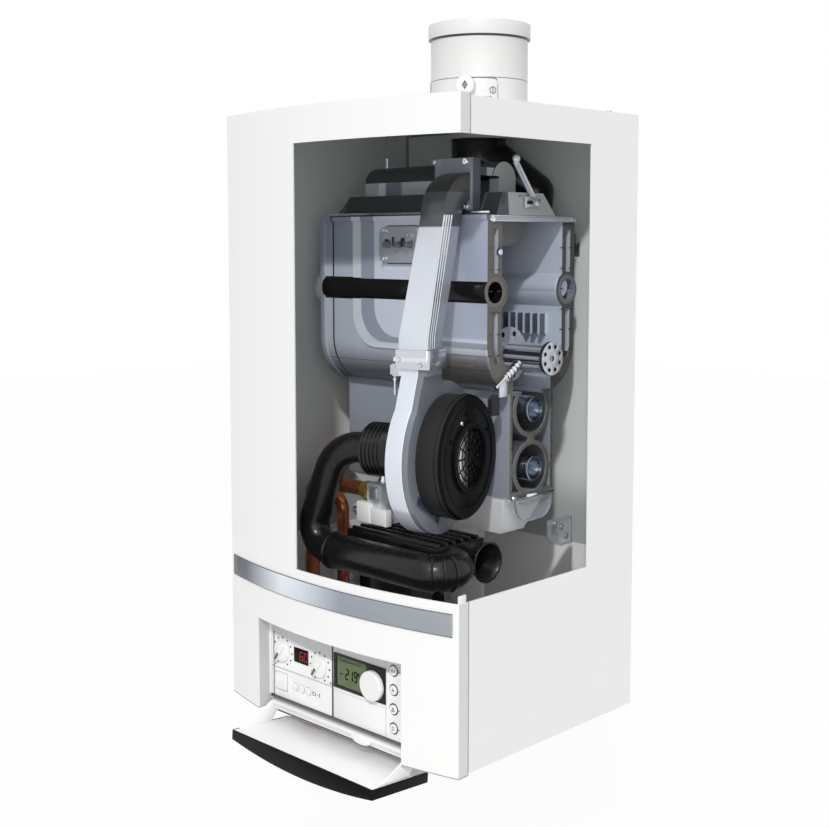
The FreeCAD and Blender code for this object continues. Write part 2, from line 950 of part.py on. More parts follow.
def mains_switch():
    x, z = switch_center
    half_x = switch_size[0] / 2
    half_z = switch_size[1] / 2
    flange_y = fascia_back_y + button_flange_gap
    cap = box(x - half_x, x + half_x, fascia_y - switch_proud, flange_y, z - half_z, z + half_z)
    upright = [edge for edge in cap.Edges if edge.BoundBox.YLength > fascia_thickness]
    cap = cap.makeFillet(button_flange, upright)
    flange_half = half_x - switch_flange_inset
    flange = box(x - flange_half, x + flange_half, flange_y, flange_y + button_flange,
                 z - half_z - button_flange, z + half_z + button_flange)
    return fuse([cap, flange, stem(switch_center)])


def swing_open(shape):
    shape.rotate(Vector(0, pivot_y, pivot_z), Vector(1, 0, 0), flap_open_angle)
    return shape


def flap_cover():
    inner_y = back(flap_inner_depth)
    shell = bow_block(flap_half, 0, inner_y, flap_low, flap_high)
    pocket = bow_block(flap_half - flap_wall, flap_wall, inner_y + over, flap_low + flap_wall,
                       flap_high - flap_wall)
    return swing_open(shell.cut(pocket))


def flap_tray():
    half = flap_half - flap_wall - tray_gap
    rear = back(flap_inner_depth)
    plate = box(-half, half, rear - tray_thickness, rear, flap_low + flap_wall + tray_gap,
                flap_high - flap_wall - tray_gap)
    return swing_open(plate)


def arm_outline():
    base = back(flap_inner_depth)
    eye = Vector(0, pivot_y, pivot_z)
    high = Vector(0, base, arm_base_high)
    low = Vector(0, base, arm_base_low)
    back_touch = eye + Vector(0, arm_eye_radius, 0)
    front_touch = eye - Vector(0, arm_eye_radius, 0)
    under = eye - Vector(0, 0, arm_eye_radius)
    upper_mid = (high + back_touch) * 0.5 - Vector(0, arm_eye_radius / 4, arm_eye_radius / 4)
    lower_mid = (low + front_touch) * 0.5 + Vector(0, arm_eye_radius / 4, arm_eye_radius / 4)
    edges = [Part.Arc(high, upper_mid, back_touch).toShape(),
             Part.Arc(back_touch, under, front_touch).toShape(),
             Part.Arc(front_touch, lower_mid, low).toShape(), Part.LineSegment(low, high).toShape()]
    return Part.Face(Part.Wire(edges))


def flap_arms():
    arm = arm_outline().extrude(Vector(arm_thickness, 0, 0))
    arm = arm.cut(rod(Vector(-over, pivot_y, pivot_z), Vector(arm_thickness + over, pivot_y, pivot_z),
                      pin_radius + pin_clearance))
    arms = [arm.translated(Vector(arm_inner, 0, 0)), arm.translated(Vector(-arm_half, 0, 0))]
    return swing_open(Part.makeCompound(arms))


def hinge_pins():
    outer = arm_half + pin_overhang
    inner = box_half - pin_inside
    pins = []
    for side in (-1, 1):
        pins.append(rod(Vector(side * inner, pivot_y, pivot_z), Vector(side * outer, pivot_y, pivot_z),
                        pin_radius))
    return Part.makeCompound(pins)


def drum_face(inset, top, x):
    radius = drum_shoulder_radius - inset
    shoulder_z = drum_low + drum_shoulder
    low = drum_low + inset
    drop = shoulder_z - low
    center = drum_shoulder_radius
    side_reach = math.sqrt(radius ** 2 - drop ** 2)
    turn = math.atan2(drop, side_reach) / 2
    edges = []
    corners = []
    for wall_y, inward in ((drum_front, 1), (drum_rear, -1)):
        pivot = wall_y + inward * center
        upper = Vector(x, pivot - inward * radius, shoulder_z)
        middle = Vector(x, pivot - inward * radius * math.cos(turn), shoulder_z - radius * math.sin(turn))
        lower = Vector(x, pivot - inward * side_reach, low)
        rim = Vector(x, upper.y, top)
        edges.append(Part.LineSegment(rim, upper).toShape())
        edges.append(Part.Arc(upper, middle, lower).toShape())
        corners.append((rim, lower))
    edges.append(Part.LineSegment(corners[0][1], corners[1][1]).toShape())
    edges.append(Part.LineSegment(corners[0][0], corners[1][0]).toShape())
    return Part.Face(Part.Wire(Part.__sortEdges__(edges)))


def drum_block(inset, top, x0, x1):
    return drum_face(inset, top, x0).extrude(Vector(x1 - x0, 0, 0))


def header_rod(y, radius):
    return rod(Vector(-exchanger_half - end_flange_left, y, header_z),
               Vector(exchanger_half, y, header_z), radius)


def header_places():
    return (drum_front + header_front_inset, drum_rear - header_inset)


def electrode_places():
    middle = (cover_left + cover_right) / 2
    z = (cover_low + cover_high) / 2
    return [(middle + (i - (electrode_count - 1) / 2) * electrode_pitch, z)
            for i in range(electrode_count)]


def emboss_plate(step):
    left = emboss_left + step * emboss_step
    front = drum_front - (step + 1) * emboss_height
    low = emboss_low + step * emboss_step / 2
    plate = box(left, exchanger_half, front, drum_front + over, low, emboss_high)
    corner = [edge for edge in plate.Edges if edge.BoundBox.YLength > emboss_height
              and edge.BoundBox.XMax < left + over and edge.BoundBox.ZMax < low + over]
    return plate.makeFillet(emboss_corner - step * emboss_step / 2, corner)


def drum_emboss():
    return [emboss_plate(0), emboss_plate(1)]


def exchanger_drum():
    body = drum_block(0, drum_top, -exchanger_half, exchanger_half)
    cavity_left = -exchanger_half + drum_end_wall
    right = exchanger_half + over
    cavity = drum_block(drum_wall, drum_top + over, cavity_left, right)
    mouth = box(cavity_left, right, neck_front + neck_skin, neck_rear - neck_skin,
                drum_low - over, drum_low + drum_wall + over)
    channel = drum_block(drum_outer_skin, channel_high, -channel_end, right)
    channel = channel.cut(drum_block(drum_wall - drum_inner_skin, channel_high + over,
                                     -channel_end - over, right + over))
    channel = channel.common(box(-channel_end, right, drum_front, drum_rear, channel_low, channel_high))
    body = body.cut(cavity).cut(mouth).cut(channel)
    bosses = [header_rod(y, header_radius + drum_outer_skin / 2) for y in header_places()]
    keep = box(-exchanger_half, exchanger_half, drum_front, drum_rear, drum_low, drum_top)
    body = body.fuse(fuse_inside(bosses, keep))
    left = -exchanger_half - end_flange_left
    rim = drum_block(-end_flange_out, drum_top, left, left + end_flange_width)
    top_rim = box(left, exchanger_half, drum_front - end_flange_out, drum_rear,
                  drum_top - top_flange_height, drum_top)
    top_hole = box(-exchanger_half + drum_end_wall, exchanger_half - top_bar_width,
                   drum_front + drum_wall,
                   drum_rear - drum_wall, drum_low, drum_top + over)
    body = fuse([body, rim, top_rim.cut(top_hole)] + drum_emboss())
    for y in header_places():
        body = body.cut(header_rod(y, header_radius + header_gap))
    fins = []
    for i in range(fin_count):
        x = fin_first_x + i * fin_pitch
        inner = drum_rear - drum_wall
        fins.append(box(x, x + fin_thickness, inner - fin_reach, inner + over, fin_low,
                        fin_low + fin_height))
    body = fuse([body] + fins)
    for x, z in electrode_places():
        hole = rod(Vector(x, cover_seat - over, z), Vector(x, drum_front + drum_wall + over, z),
                   electrode_radius + electrode_gap)
        body = body.cut(hole)
    return body


def fuse_inside(shapes, limit):
    return Part.makeCompound([shape.common(limit) for shape in shapes])


def header_tubes():
    tubes = []
    for y in header_places():
        end = Vector(-exchanger_half - end_flange_left - turning_gap, y, header_z)
        cap = rod(end, end - Vector(header_cap_length, 0, 0), header_cap_radius)
        neck = rod(end, Vector(-exchanger_half + over, y, header_z), header_radius)
        pipe = header_rod(y, header_radius).cut(header_rod(y, header_bore))
        tubes.append(fuse([pipe, neck, cap]))
    return Part.makeCompound(tubes)


def port_heights():
    return (port_upper_z, port_lower_z)


def exchanger_neck():
    body = box(neck_left, exchanger_half, neck_front, neck_rear, neck_low, drum_low)
    inner_left = neck_left + neck_end_wall
    right = exchanger_half + over
    jacket = box(inner_left, right, neck_front + neck_skin, neck_rear - neck_skin,
                 neck_low + neck_floor, drum_low - neck_roof)
    for z in port_heights():
        ring = rod(Vector(inner_left, drum_mid, z), Vector(right, drum_mid, z),
                   chamber_radius + ring_wall)
        jacket = jacket.cut(ring)
    middle_z = (port_upper_z + port_lower_z) / 2
    half_web = ring_web / 2
    jacket = jacket.cut(box(inner_left, right, drum_mid - half_web, drum_mid + half_web,
                            middle_z - half_web, middle_z + half_web))
    half_bridge = ring_bridge / 2
    for z in port_heights():
        jacket = jacket.cut(box(inner_left, right, neck_front, neck_rear, z - half_bridge,
                                z + half_bridge))
    body = body.cut(jacket)
    for z in port_heights():
        body = body.cut(rod(Vector(inner_left, drum_mid, z), Vector(right, drum_mid, z), chamber_radius))
        body = body.cut(rod(Vector(neck_left - over, drum_mid, z), Vector(right, drum_mid, z),
                            port_radius + header_gap))
    half_slot = chamber_slot / 2
    body = body.cut(box(inner_left, sump_right - 2 * neck_end_wall, drum_mid - half_slot,
                        drum_mid + half_slot,
                        neck_low - over, port_upper_z))
    return body


def port_tubes():
    tubes = []
    for z in port_heights():
        left = Vector(neck_left, drum_mid, z)
        right = Vector(exchanger_half + port_proud, drum_mid, z)
        wall = rod(left, right, port_radius).cut(rod(left, right, port_radius - port_wall))
        plug = rod(left, left + Vector(port_plug, 0, 0), port_radius)
        plug = plug.cut(rod(left, left + Vector(port_plug, 0, 0), water_radius + pipe_fit_gap))
        tubes.append(wall.fuse(plug).removeSplitter())
    return Part.makeCompound(tubes)


def around(count, radius, phase):
    steps = [phase + 2 * math.pi * i / count for i in range(count)]
    return [(radius * math.cos(step), radius * math.sin(step)) for step in steps]


def displacer_bundle():
    left = -exchanger_half + drum_end_wall + header_gap
    core_end = bundle_small_x + bundle_disc
    axis = Vector(0, drum_mid, bundle_z)
    pieces = [rod(axis + Vector(left, 0, 0), axis + Vector(core_end, 0, 0), bundle_core_radius)]
    for x, radius in ((bundle_big_x, bundle_big_radius), (bundle_small_x, bundle_small_radius)):
        pieces.append(rod(axis + Vector(x, 0, 0), axis + Vector(x + bundle_disc, 0, 0), radius))
    for y, z in around(bundle_rods, bundle_rod_circle, 0):
        start = axis + Vector(bundle_rod_start, y, z)
        pieces.append(rod(start, axis + Vector(bundle_small_x, y, z), bundle_rod_radius))
    bundle = fuse(pieces)
    for y, z in around(bundle_rods, bundle_hole_circle, math.pi / bundle_rods):
        start = axis + Vector(bundle_big_x - over, y, z)
        bundle = bundle.cut(rod(start, start + Vector(bundle_disc + 2 * over, 0, 0), bundle_hole_radius))
    for y, z in around(bundle_rods, bundle_rod_circle, math.pi / bundle_rods):
        start = axis + Vector(bundle_small_x - over, y, z)
        bundle = bundle.cut(rod(start, start + Vector(bundle_disc + 2 * over, 0, 0), bundle_end_hole))
    tip = axis + Vector(core_end - bundle_disc / 2, 0, 0)
    return bundle.cut(rod(tip, tip + Vector(bundle_disc, 0, 0), bundle_core_radius / 2))


def rectangle_wire(x0, x1, y0, y1, z):
    corners = [Vector(x0, y0, z), Vector(x1, y0, z), Vector(x1, y1, z), Vector(x0, y1, z)]
    return Part.makePolygon(corners + [corners[0]])


hood_front = drum_front + hood_front_inset
hood_rear = drum_rear - hood_rear_inset
slope_top = drum_top + hood_slope_height
dome_front = back(dome_front_depth)
dome_rear = dome_front + dome_width
dome_spring = slope_top + dome_band
flange_y = back(duct_top_depth) + duct_elbow_radius


def arch_block(inset, x0, x1, low):
    left = Vector(x0, dome_front + inset, dome_spring)
    right = Vector(x0, dome_rear - inset, dome_spring)
    crown = Vector(x0, (dome_front + dome_rear) / 2, dome_spring + dome_rise - inset)
    arch = Part.Arc(left, crown, right).toShape()
    low_left = Vector(x0, dome_front + inset, low)
    low_right = Vector(x0, dome_rear - inset, low)
    sides = Part.makePolygon([right, low_right, low_left, left]).Edges
    return Part.Face(Part.Wire([arch] + sides)).extrude(Vector(x1 - x0, 0, 0))


def burner_hood():
    lower = rectangle_wire(hood_left, hood_right, hood_front, hood_rear, drum_top)
    upper = rectangle_wire(hood_left + hood_slope_left, hood_right - hood_slope_right,
                           hood_front + hood_slope_front, hood_rear - hood_slope_rear, slope_top)
    skirt = Part.makeLoft([lower, upper], True, True)
    dome = arch_block(0, dome_left, dome_right, slope_top)
    ends = [edge for edge in dome.Edges if edge.BoundBox.XMax < dome_left + over
            and edge.BoundBox.ZMax > dome_spring + over]
    dome = dome.makeFillet(dome_round, ends)
    boss = box(duct_flange_left, duct_flange_right, flange_y, flange_y + boss_depth, duct_flange_low,
               duct_flange_high)
    boss_neck = box(duct_flange_left + boss_neck_inset / 2, duct_flange_right - boss_neck_inset / 2,
                    flange_y, dome_front + hood_wall,
                    duct_flange_low, duct_flange_high - boss_neck_inset)
    body = fuse([skirt, dome, boss, boss_neck])
    body = body.cut(arch_block(hood_wall, dome_left + hood_wall + dome_round,
                               dome_right - hood_wall - dome_round, drum_top))
    pocket = hood_pocket_gap
    lap = drum_wall - burner_lap - pocket
    body = body.cut(box(-burner_half - pocket, burner_half + pocket, drum_front + lap, drum_rear - lap,
                        drum_top - over, drum_top + burner_plate + pocket))
    half_x = duct_top_size[0] / 2 - duct_wall
    half_z = duct_top_size[1] / 2 - duct_wall
    port_z = duct_top_z + duct_elbow_radius
    port = box(duct_top_x - half_x, duct_top_x + half_x, flange_y - over, dome_front + 2 * hood_wall,
               port_z - half_z, port_z + half_z)
    return body.cut(port)


def burner():
    lap = drum_wall - burner_lap
    plate = box(-burner_half, burner_half, drum_front + lap, drum_rear - lap, drum_top,
                drum_top + burner_plate)
    plate_top = drum_top + burner_plate
    start = Vector(-burner_trough_half, drum_mid, plate_top)
    end = Vector(burner_trough_half, drum_mid, plate_top)
    below = box(-burner_half, burner_half, drum_front, drum_rear, drum_low, plate_top)
    trough = rod(start, end, burner_trough_radius).common(below)
    inset = Vector(burner_skin, 0, 0)
    hollow = rod(start + inset, end - inset, burner_trough_radius - burner_skin)
    return plate.fuse(trough).cut(hollow).removeSplitter()


def inspection_cover():
    plate = box(cover_left, cover_right, cover_seat - cover_thickness, cover_seat, cover_low, cover_high)
    corners = [edge for edge in plate.Edges if edge.BoundBox.YLength > cover_thickness / 2]
    plate = plate.makeFillet(cover_corner, corners)
    for x, z in electrode_places():
        hole = rod(Vector(x, cover_seat - cover_thickness - over, z), Vector(x, cover_seat + over, z),
                   electrode_radius + electrode_gap)
        plate = plate.cut(hole)
    return plate


def electrodes():
    pieces = []
    for x, z in electrode_places():
        start = Vector(x, cover_seat - cover_thickness - electrode_out, z)
        end = Vector(x, drum_front + electrode_in, z)
        ceramic = rod(start, end, electrode_radius)
        tip = rod(end, end + Vector(0, electrode_tip, 0), electrode_tip_radius)
        pieces.append(ceramic.fuse(tip).removeSplitter())
    return Part.makeCompound(pieces)


# The fan is drawn on the X axis, its motor face at X = 0, and then turned and moved to its place.
motor_back = -motor_length
scroll_right = motor_back - scroll_gap
scroll_left = scroll_right - scroll_length
scroll_mid = (scroll_right + scroll_left) / 2


def place_fan(shape):
    shape.rotate(Vector(0, 0, 0), Vector(0, 0, 1), fan_turn)
    shape.translate(Vector(fan_x, back(fan_depth), fan_z))
    return shape


def fan_point(along, side, height):
    turn = math.radians(fan_turn)
    x = fan_x + along * math.cos(turn) - side * math.sin(turn)
    y = back(fan_depth) + along * math.sin(turn) + side * math.cos(turn)
    return Vector(x, y, fan_z + height)


def axial(x0, x1, radius):
    return rod(Vector(x0, 0, 0), Vector(x1, 0, 0), radius)


def scroll_block(inset, x0, x1):
    tall = scroll_height - inset
    reach = scroll_reach - inset
    center = Vector(x0, scroll_shift_y, scroll_shift_z)
    oval = Part.Ellipse(center + Vector(0, 0, tall), center + Vector(0, reach, 0), center)
    drum = Part.Face(Part.Wire(oval.toShape())).extrude(Vector(x1 - x0, 0, 0))
    left = outlet_center_y - outlet_size / 2 + inset
    right = outlet_center_y + outlet_size / 2 - inset
    throat = [Vector(x0, scroll_shift_y - reach, scroll_shift_z), Vector(x0, left, outlet_blend_top),
              Vector(x0, right, outlet_blend_top), Vector(x0, scroll_shift_y,
                                                          scroll_shift_z + tall - inset),
              Vector(x0, scroll_shift_y, scroll_shift_z)]
    return fuse([drum, prism(throat, Vector(x1 - x0, 0, 0))])


def outlet_block(inset, z0, z1):
    half = outlet_size / 2 - inset
    return box(scroll_mid - half, scroll_mid + half, outlet_center_y - half, outlet_center_y + half, z0,
               z1)


def fan_scroll():
    outside = fuse([scroll_block(0, scroll_left, scroll_right),
                    outlet_block(0, outlet_blend_top - scroll_wall, outlet_top),
                    axial(scroll_left - coupling_overlap, scroll_left,
                          scroll_inlet_radius - intake_fit_gap)])
    inside = fuse([scroll_block(scroll_wall, scroll_left + scroll_wall, scroll_right - scroll_wall),
                   outlet_block(scroll_wall + duct_wall, outlet_blend_top - 4 * scroll_wall,
                                outlet_top + over)])
    body = outside.cut(inside)
    body = body.cut(axial(scroll_left - coupling_overlap - over, scroll_mid,
                          scroll_inlet_radius - scroll_wall))
    body = body.cut(axial(scroll_mid, scroll_right + over, fan_shaft_radius + fan_shaft_clearance))
    return place_fan(body)


def fan_impeller():
    left = scroll_left + scroll_wall + impeller_side_gap
    right = left + impeller_width
    pieces = [axial(right - impeller_plate, right, impeller_radius), axial(left, right, impeller_hub)]
    eye_ring = axial(left, left + impeller_plate, impeller_radius).cut(axial(left, left + impeller_plate,
                                                                             impeller_eye))
    pieces.append(eye_ring)
    reach = impeller_radius - over
    for i in range(impeller_blades):
        blade = box(left, right, -impeller_blade / 2, impeller_blade / 2, impeller_eye - impeller_plate,
                    reach)
        blade.rotate(Vector(0, 0, 0), Vector(1, 0, 0), 360.0 * i / impeller_blades)
        pieces.append(blade)
    rotor_right = motor_ring_height - grille_depth - rotor_front_gap
    pieces.append(axial(left, rotor_right, fan_shaft_radius))
    pieces.append(axial(rotor_right - rotor_length, rotor_right, rotor_radius))
    return place_fan(fuse(pieces))


def fan_motor():
    body = axial(motor_back, 0, motor_radius)
    rim = [edge for edge in body.Edges if edge.Closed and edge.BoundBox.XMin > motor_back / 2]
    body = body.makeChamfer(motor_chamfer, rim)
    ring = axial(-motor_wall, motor_ring_height, motor_ring_radius)
    body = body.fuse(ring)
    body = body.cut(axial(motor_back - over, -motor_wall, motor_radius - motor_wall))
    body = body.cut(axial(-2 * motor_wall, motor_ring_height + over, grille_radius))
    grille_front = motor_ring_height - grille_depth
    bars = [axial(grille_front - grille_depth, grille_front, grille_hub)]
    for radius in grille_rings:
        hoop = axial(grille_front - grille_depth, grille_front, radius + grille_bar / 2)
        bars.append(hoop.cut(axial(grille_front - grille_depth, grille_front, radius - grille_bar / 2)))
    for i in range(grille_spokes):
        spoke = box(grille_front - grille_depth, grille_front, -grille_bar / 2, grille_bar / 2, 0,
                    grille_radius + over)
        spoke.rotate(Vector(0, 0, 0), Vector(1, 0, 0), 360.0 * i / grille_spokes)
        bars.append(spoke)
    return place_fan(fuse([body] + bars))


def turned_square(along, side, height, size_x, size_y):
    half_x = size_x / 2
    half_y = size_y / 2
    corners = [(-half_x, -half_y), (half_x, -half_y), (half_x, half_y), (-half_x, half_y)]
    points = [fan_point(along + x, side + y, height) for x, y in corners]
    return Part.makePolygon(points + [points[0]])


def duct_solid(inset):
    low = outlet_top + duct_joint_gap
    size = outlet_size - 2 * inset
    foot = turned_square(scroll_mid, outlet_center_y, low, size, size)
    knee = turned_square(scroll_mid, outlet_center_y, low + duct_straight, size, size)
    half_x = duct_top_size[0] / 2 - inset
    half_y = duct_top_size[1] / 2 - inset
    middle_y = back(duct_top_depth)
    top = rectangle_wire(duct_top_x - half_x, duct_top_x + half_x, middle_y - half_y, middle_y + half_y,
                         duct_top_z)
    straight = Part.makeLoft([foot, knee], True, True)
    lean = Part.makeLoft([knee, top], True, True)
    elbow = Part.Face(top).revolve(Vector(0, flange_y, duct_top_z), Vector(-1, 0, 0), 90)
    return fuse([straight, lean, elbow])


def mixing_duct():
    body = duct_solid(0)
    plate = box(duct_flange_left, duct_flange_right, flange_y - duct_flange_thickness, flange_y,
                duct_flange_low, duct_flange_high)
    body = body.fuse(plate)
    body = body.cut(duct_solid(duct_wall))
    half_x = duct_top_size[0] / 2 - duct_wall
    half_z = duct_top_size[1] / 2 - duct_wall
    port_z = duct_top_z + duct_elbow_radius
    port = box(duct_top_x - half_x, duct_top_x + half_x, flange_y - duct_flange_thickness - over,
               flange_y + over,
               port_z - half_z, port_z + half_z)
    return body.cut(port).removeSplitter()


def duct_clamp():
    middle = outlet_top
    inner = outlet_size / 2 + clamp_gap
    outer = inner + clamp_wall
    low = middle - clamp_height / 2
    high = middle + clamp_height / 2
    block = box(scroll_mid - outer, scroll_mid + outer, outlet_center_y - outer, outlet_center_y + outer,
                low, high)
    upright = [edge for edge in block.Edges if edge.BoundBox.ZLength > clamp_height / 2]
    block = block.makeFillet(clamp_wall, upright)
    hole = box(scroll_mid - inner, scroll_mid + inner, outlet_center_y - inner, outlet_center_y + inner,
               low - over, high + over)
    return place_fan(block.cut(hole))


def intake_points():
    end = scroll_left - coupling_length
    start = fan_point(end, 0, 0)
    corner = fan_point(end - intake_turn_length, 0, 0)
    low = Vector(intake_low_x, back(silencer_depth), silencer_z)
    last = Vector(silencer_left + intake_insert, back(silencer_depth), silencer_z)
    return [start, corner, low, last]


def intake_pipe():
    end = scroll_left - coupling_length
    cup = axial(end, scroll_left, coupling_radius)
    for i in range(coupling_ribs):
        x = end + coupling_wall + i * coupling_rib_pitch
        cup = cup.fuse(axial(x, x + coupling_rib_pitch / 2, coupling_radius + coupling_rib_height))
    cup = cup.cut(axial(end + coupling_wall, scroll_left + over, coupling_radius - coupling_wall))
    cup = cup.cut(axial(end - over, end + 2 * coupling_wall, intake_radius - intake_wall))
    cup = place_fan(cup)
    bends = (intake_upper_bend, intake_lower_bend)
    return fuse([cup, tube(intake_points(), bends, intake_radius, intake_wall)])


def silencer_tube(inset):
    y = back(silencer_depth)
    radius = silencer_radius - inset
    start = Vector(silencer_left + inset, y, silencer_z)
    end = Vector(silencer_bend_x, y, silencer_z)
    center = end + Vector(0, silencer_bend_radius, 0)
    profile = Part.Face(ring_wire(end, Vector(1, 0, 0), radius))
    bend = profile.revolve(center, Vector(0, 0, 1), 180)
    return fuse([rod(start, end, radius), bend])


def silencer():
    front = back(chamber_front_depth)
    rear = back(chamber_rear_depth)
    right = silencer_bend_x
    chamber = box(chamber_left, right, front, rear, chamber_low, chamber_high)
    mouth_y = back(trumpet_depth)
    throat = Vector(right, mouth_y, silencer_z)
    mouth = throat + Vector(trumpet_length, 0, 0)
    pieces = [silencer_tube(0), chamber, cone(throat, mouth, trumpet_throat, trumpet_mouth)]
    spread = (rear - front - 4 * chamber_rib_width) / (chamber_rib_count - 1)
    for i in range(chamber_rib_count):
        y = front + 1.5 * chamber_rib_width + i * spread
        pieces.append(box(chamber_left + chamber_rib_width, right - chamber_rib_width, y,
                          y + chamber_rib_width,
                          chamber_high - over, chamber_top))
    for x in (-leg_x / 4, leg_x * 2):
        pieces.append(box(x, x + leg_width, front, front + leg_depth, box_high, chamber_low + over))
    body = fuse(pieces)
    wall = chamber_wall
    body = body.cut(box(chamber_left + wall, right - wall, front + wall, rear - wall, chamber_low + wall,
                        chamber_high - wall))
    body = body.cut(silencer_tube(silencer_wall))
    inner_mouth = trumpet_mouth - trumpet_wall
    inner_throat = trumpet_throat - trumpet_wall
    body = body.cut(cone(throat, mouth, inner_throat, inner_mouth))
    body = body.cut(rod(throat - Vector(2 * wall, 0, 0), throat, inner_throat))
    left = Vector(silencer_left, back(silencer_depth), silencer_z)
    return body.cut(rod(left - Vector(over, 0, 0), left + Vector(intake_insert, 0, 0),
                        intake_radius + intake_fit_gap))


def gas_valve():
    front = back(valve_front_depth)
    rear = back(valve_rear_depth)
    low_block = box(valve_left, valve_step_x, front + valve_step_inset, rear - valve_step_inset,
                    valve_low, valve_low + valve_low_height)
    high_block = box(valve_step_x, valve_right, front, rear, valve_low, valve_low + valve_high_height)
    socket_start = Vector(valve_step_x - over, back(gas_depth), gas_axis_z)
    socket = rod(socket_start, socket_start + Vector(union_length / 2, 0, 0),
                 gas_pipe_radius + pipe_fit_gap)
    return fuse([low_block, high_block]).cut(socket)


def gas_union():
    y = back(gas_depth)
    right = valve_step_x - union_gap
    corners = [Vector(right - union_length, y + side, gas_axis_z + up) for side,
               up in around(6, union_radius * 1.15, 0)]
    nut = prism(corners, Vector(union_length, 0, 0))
    bore_start = Vector(right - union_length - over, y, gas_axis_z)
    return nut.cut(rod(bore_start, bore_start + Vector(union_length + 2 * over, 0, 0),
                       gas_pipe_radius + pipe_fit_gap))


def end_sleeve(x, y, radius, wall):
    low = Vector(x, y, pipe_low)
    high = low + Vector(0, 0, sleeve_length)
    return rod(low, high, radius + sleeve_wall).cut(rod(low, high, radius - wall / 2))


def gas_pipe():
    y = back(gas_depth)
    points = [Vector(valve_step_x + union_length / 4, y, gas_axis_z), Vector(gas_pipe_x, y, gas_axis_z),
              Vector(gas_pipe_x, y, pipe_low)]
    pipe = tube(points, (gas_pipe_bend,), gas_pipe_radius, pipe_wall)
    return fuse([pipe, end_sleeve(gas_pipe_x, y, gas_pipe_radius, pipe_wall)])


def flow_pipe():
    front = back(flow_front_depth)
    points = [Vector(neck_left + port_plug, drum_mid, port_lower_z),
              Vector(flow_left_x, drum_mid, port_lower_z),
              Vector(flow_left_x, front, flow_mid_z), Vector(flow_x, front, flow_turn_z),
              Vector(flow_x, front, pipe_low)]
    pipe = tube(points, (water_bend, water_bend, water_bend), water_radius, pipe_wall)
    return fuse([pipe, end_sleeve(flow_x, front, water_radius, pipe_wall)])


def pump_point(z):
    return Vector(return_x, back(return_depth), z)


pump_high = pump_z + pump_width / 2 + pump_flange_height
pump_bottom = pump_z - pump_width / 2 - pump_flange_height


def return_pipe():
    y = back(return_depth)
    small_bend = water_bend * 2 / 3
    points = [Vector(neck_left + port_plug, drum_mid, port_upper_z),
              Vector(return_x, drum_mid, port_upper_z),
              Vector(return_x, y, return_turn_z), pump_point(pump_high - pump_overlap)]
    upper = tube(points, (small_bend, water_bend), water_radius, pipe_wall)
    low = rod(pump_point(pump_bottom + pump_overlap), pump_point(pipe_low), water_radius)
    low = low.cut(rod(pump_point(pump_bottom + pump_overlap), pump_point(pipe_low),
                      water_radius - pipe_wall))
    low = fuse([low, end_sleeve(return_x, y, water_radius, pipe_wall)])
    return Part.makeCompound([upper, low])


def circulation_pump():
    volute = rod(pump_point(pump_z - pump_width / 2), pump_point(pump_z + pump_width / 2), pump_radius)
    flanges = rod(pump_point(pump_bottom), pump_point(pump_high), pump_flange_radius)
    motor = rod(pump_point(pump_z), pump_point(pump_z) + Vector(pump_motor_length, 0, 0),
                pump_motor_radius)
    body = fuse([volute, flanges, motor])
    bore = water_radius + pipe_fit_gap
    for end, inner in ((pump_high, pump_high - pump_overlap - over),
                       (pump_bottom, pump_bottom + pump_overlap + over)):
        body = body.cut(rod(pump_point(end), pump_point(inner), bore))
    return body


def sump_solid(inset):
    top = rectangle_wire(sump_left + inset, sump_right - inset, neck_front + sump_top_inset + inset,
                         neck_rear - sump_top_inset - inset, neck_low)
    low = rectangle_wire(sump_low_left + inset, sump_low_right - inset,
                         neck_front + sump_low_inset + inset,
                         neck_rear - sump_low_inset - inset, sump_low + inset)
    return Part.makeLoft([top, low], True, True)


def condensate_sump():
    port_start = Vector(duct_back_x, drum_mid, duct_port_z)
    port_end = Vector(duct_back_x, neck_rear, duct_port_z)
    spigot = rod(port_start, port_end, duct_port_radius + duct_port_gap + duct_port_wall)
    spigot = spigot.common(box(-exchanger_half, exchanger_half, neck_front, neck_rear, sump_low,
                               neck_low))
    body = sump_solid(0).fuse(spigot)
    body = body.cut(sump_solid(sump_wall))
    body = body.cut(rod(port_start, port_end + Vector(0, over, 0), duct_port_radius + duct_port_gap))
    drain = Vector(siphon_x, drum_mid, sump_low - over)
    return body.cut(rod(drain, drain + Vector(0, 0, 2 * sump_wall), siphon_inlet_radius)).removeSplitter()


def siphon():
    top = Vector(siphon_x, drum_mid, sump_low)
    low = top - Vector(0, 0, siphon_height)
    cup = rod(top, low, siphon_radius)
    tail_end = Vector(siphon_x, drum_mid, pipe_low)
    tail = rod(low + Vector(0, 0, siphon_wall), tail_end, siphon_tail_radius)
    body = cup.fuse(tail)
    body = body.cut(rod(top - Vector(0, 0, siphon_wall), low + Vector(0, 0, siphon_wall),
                        siphon_radius - siphon_wall))
    body = body.cut(rod(top + Vector(0, 0, over), top - Vector(0, 0, 2 * siphon_wall),
                        siphon_inlet_radius))
    body = body.cut(rod(low + Vector(0, 0, 2 * siphon_wall), tail_end,
                        siphon_tail_radius - siphon_tail_wall))
    return fuse([body, end_sleeve(siphon_x, drum_mid, siphon_tail_radius, siphon_tail_wall)])


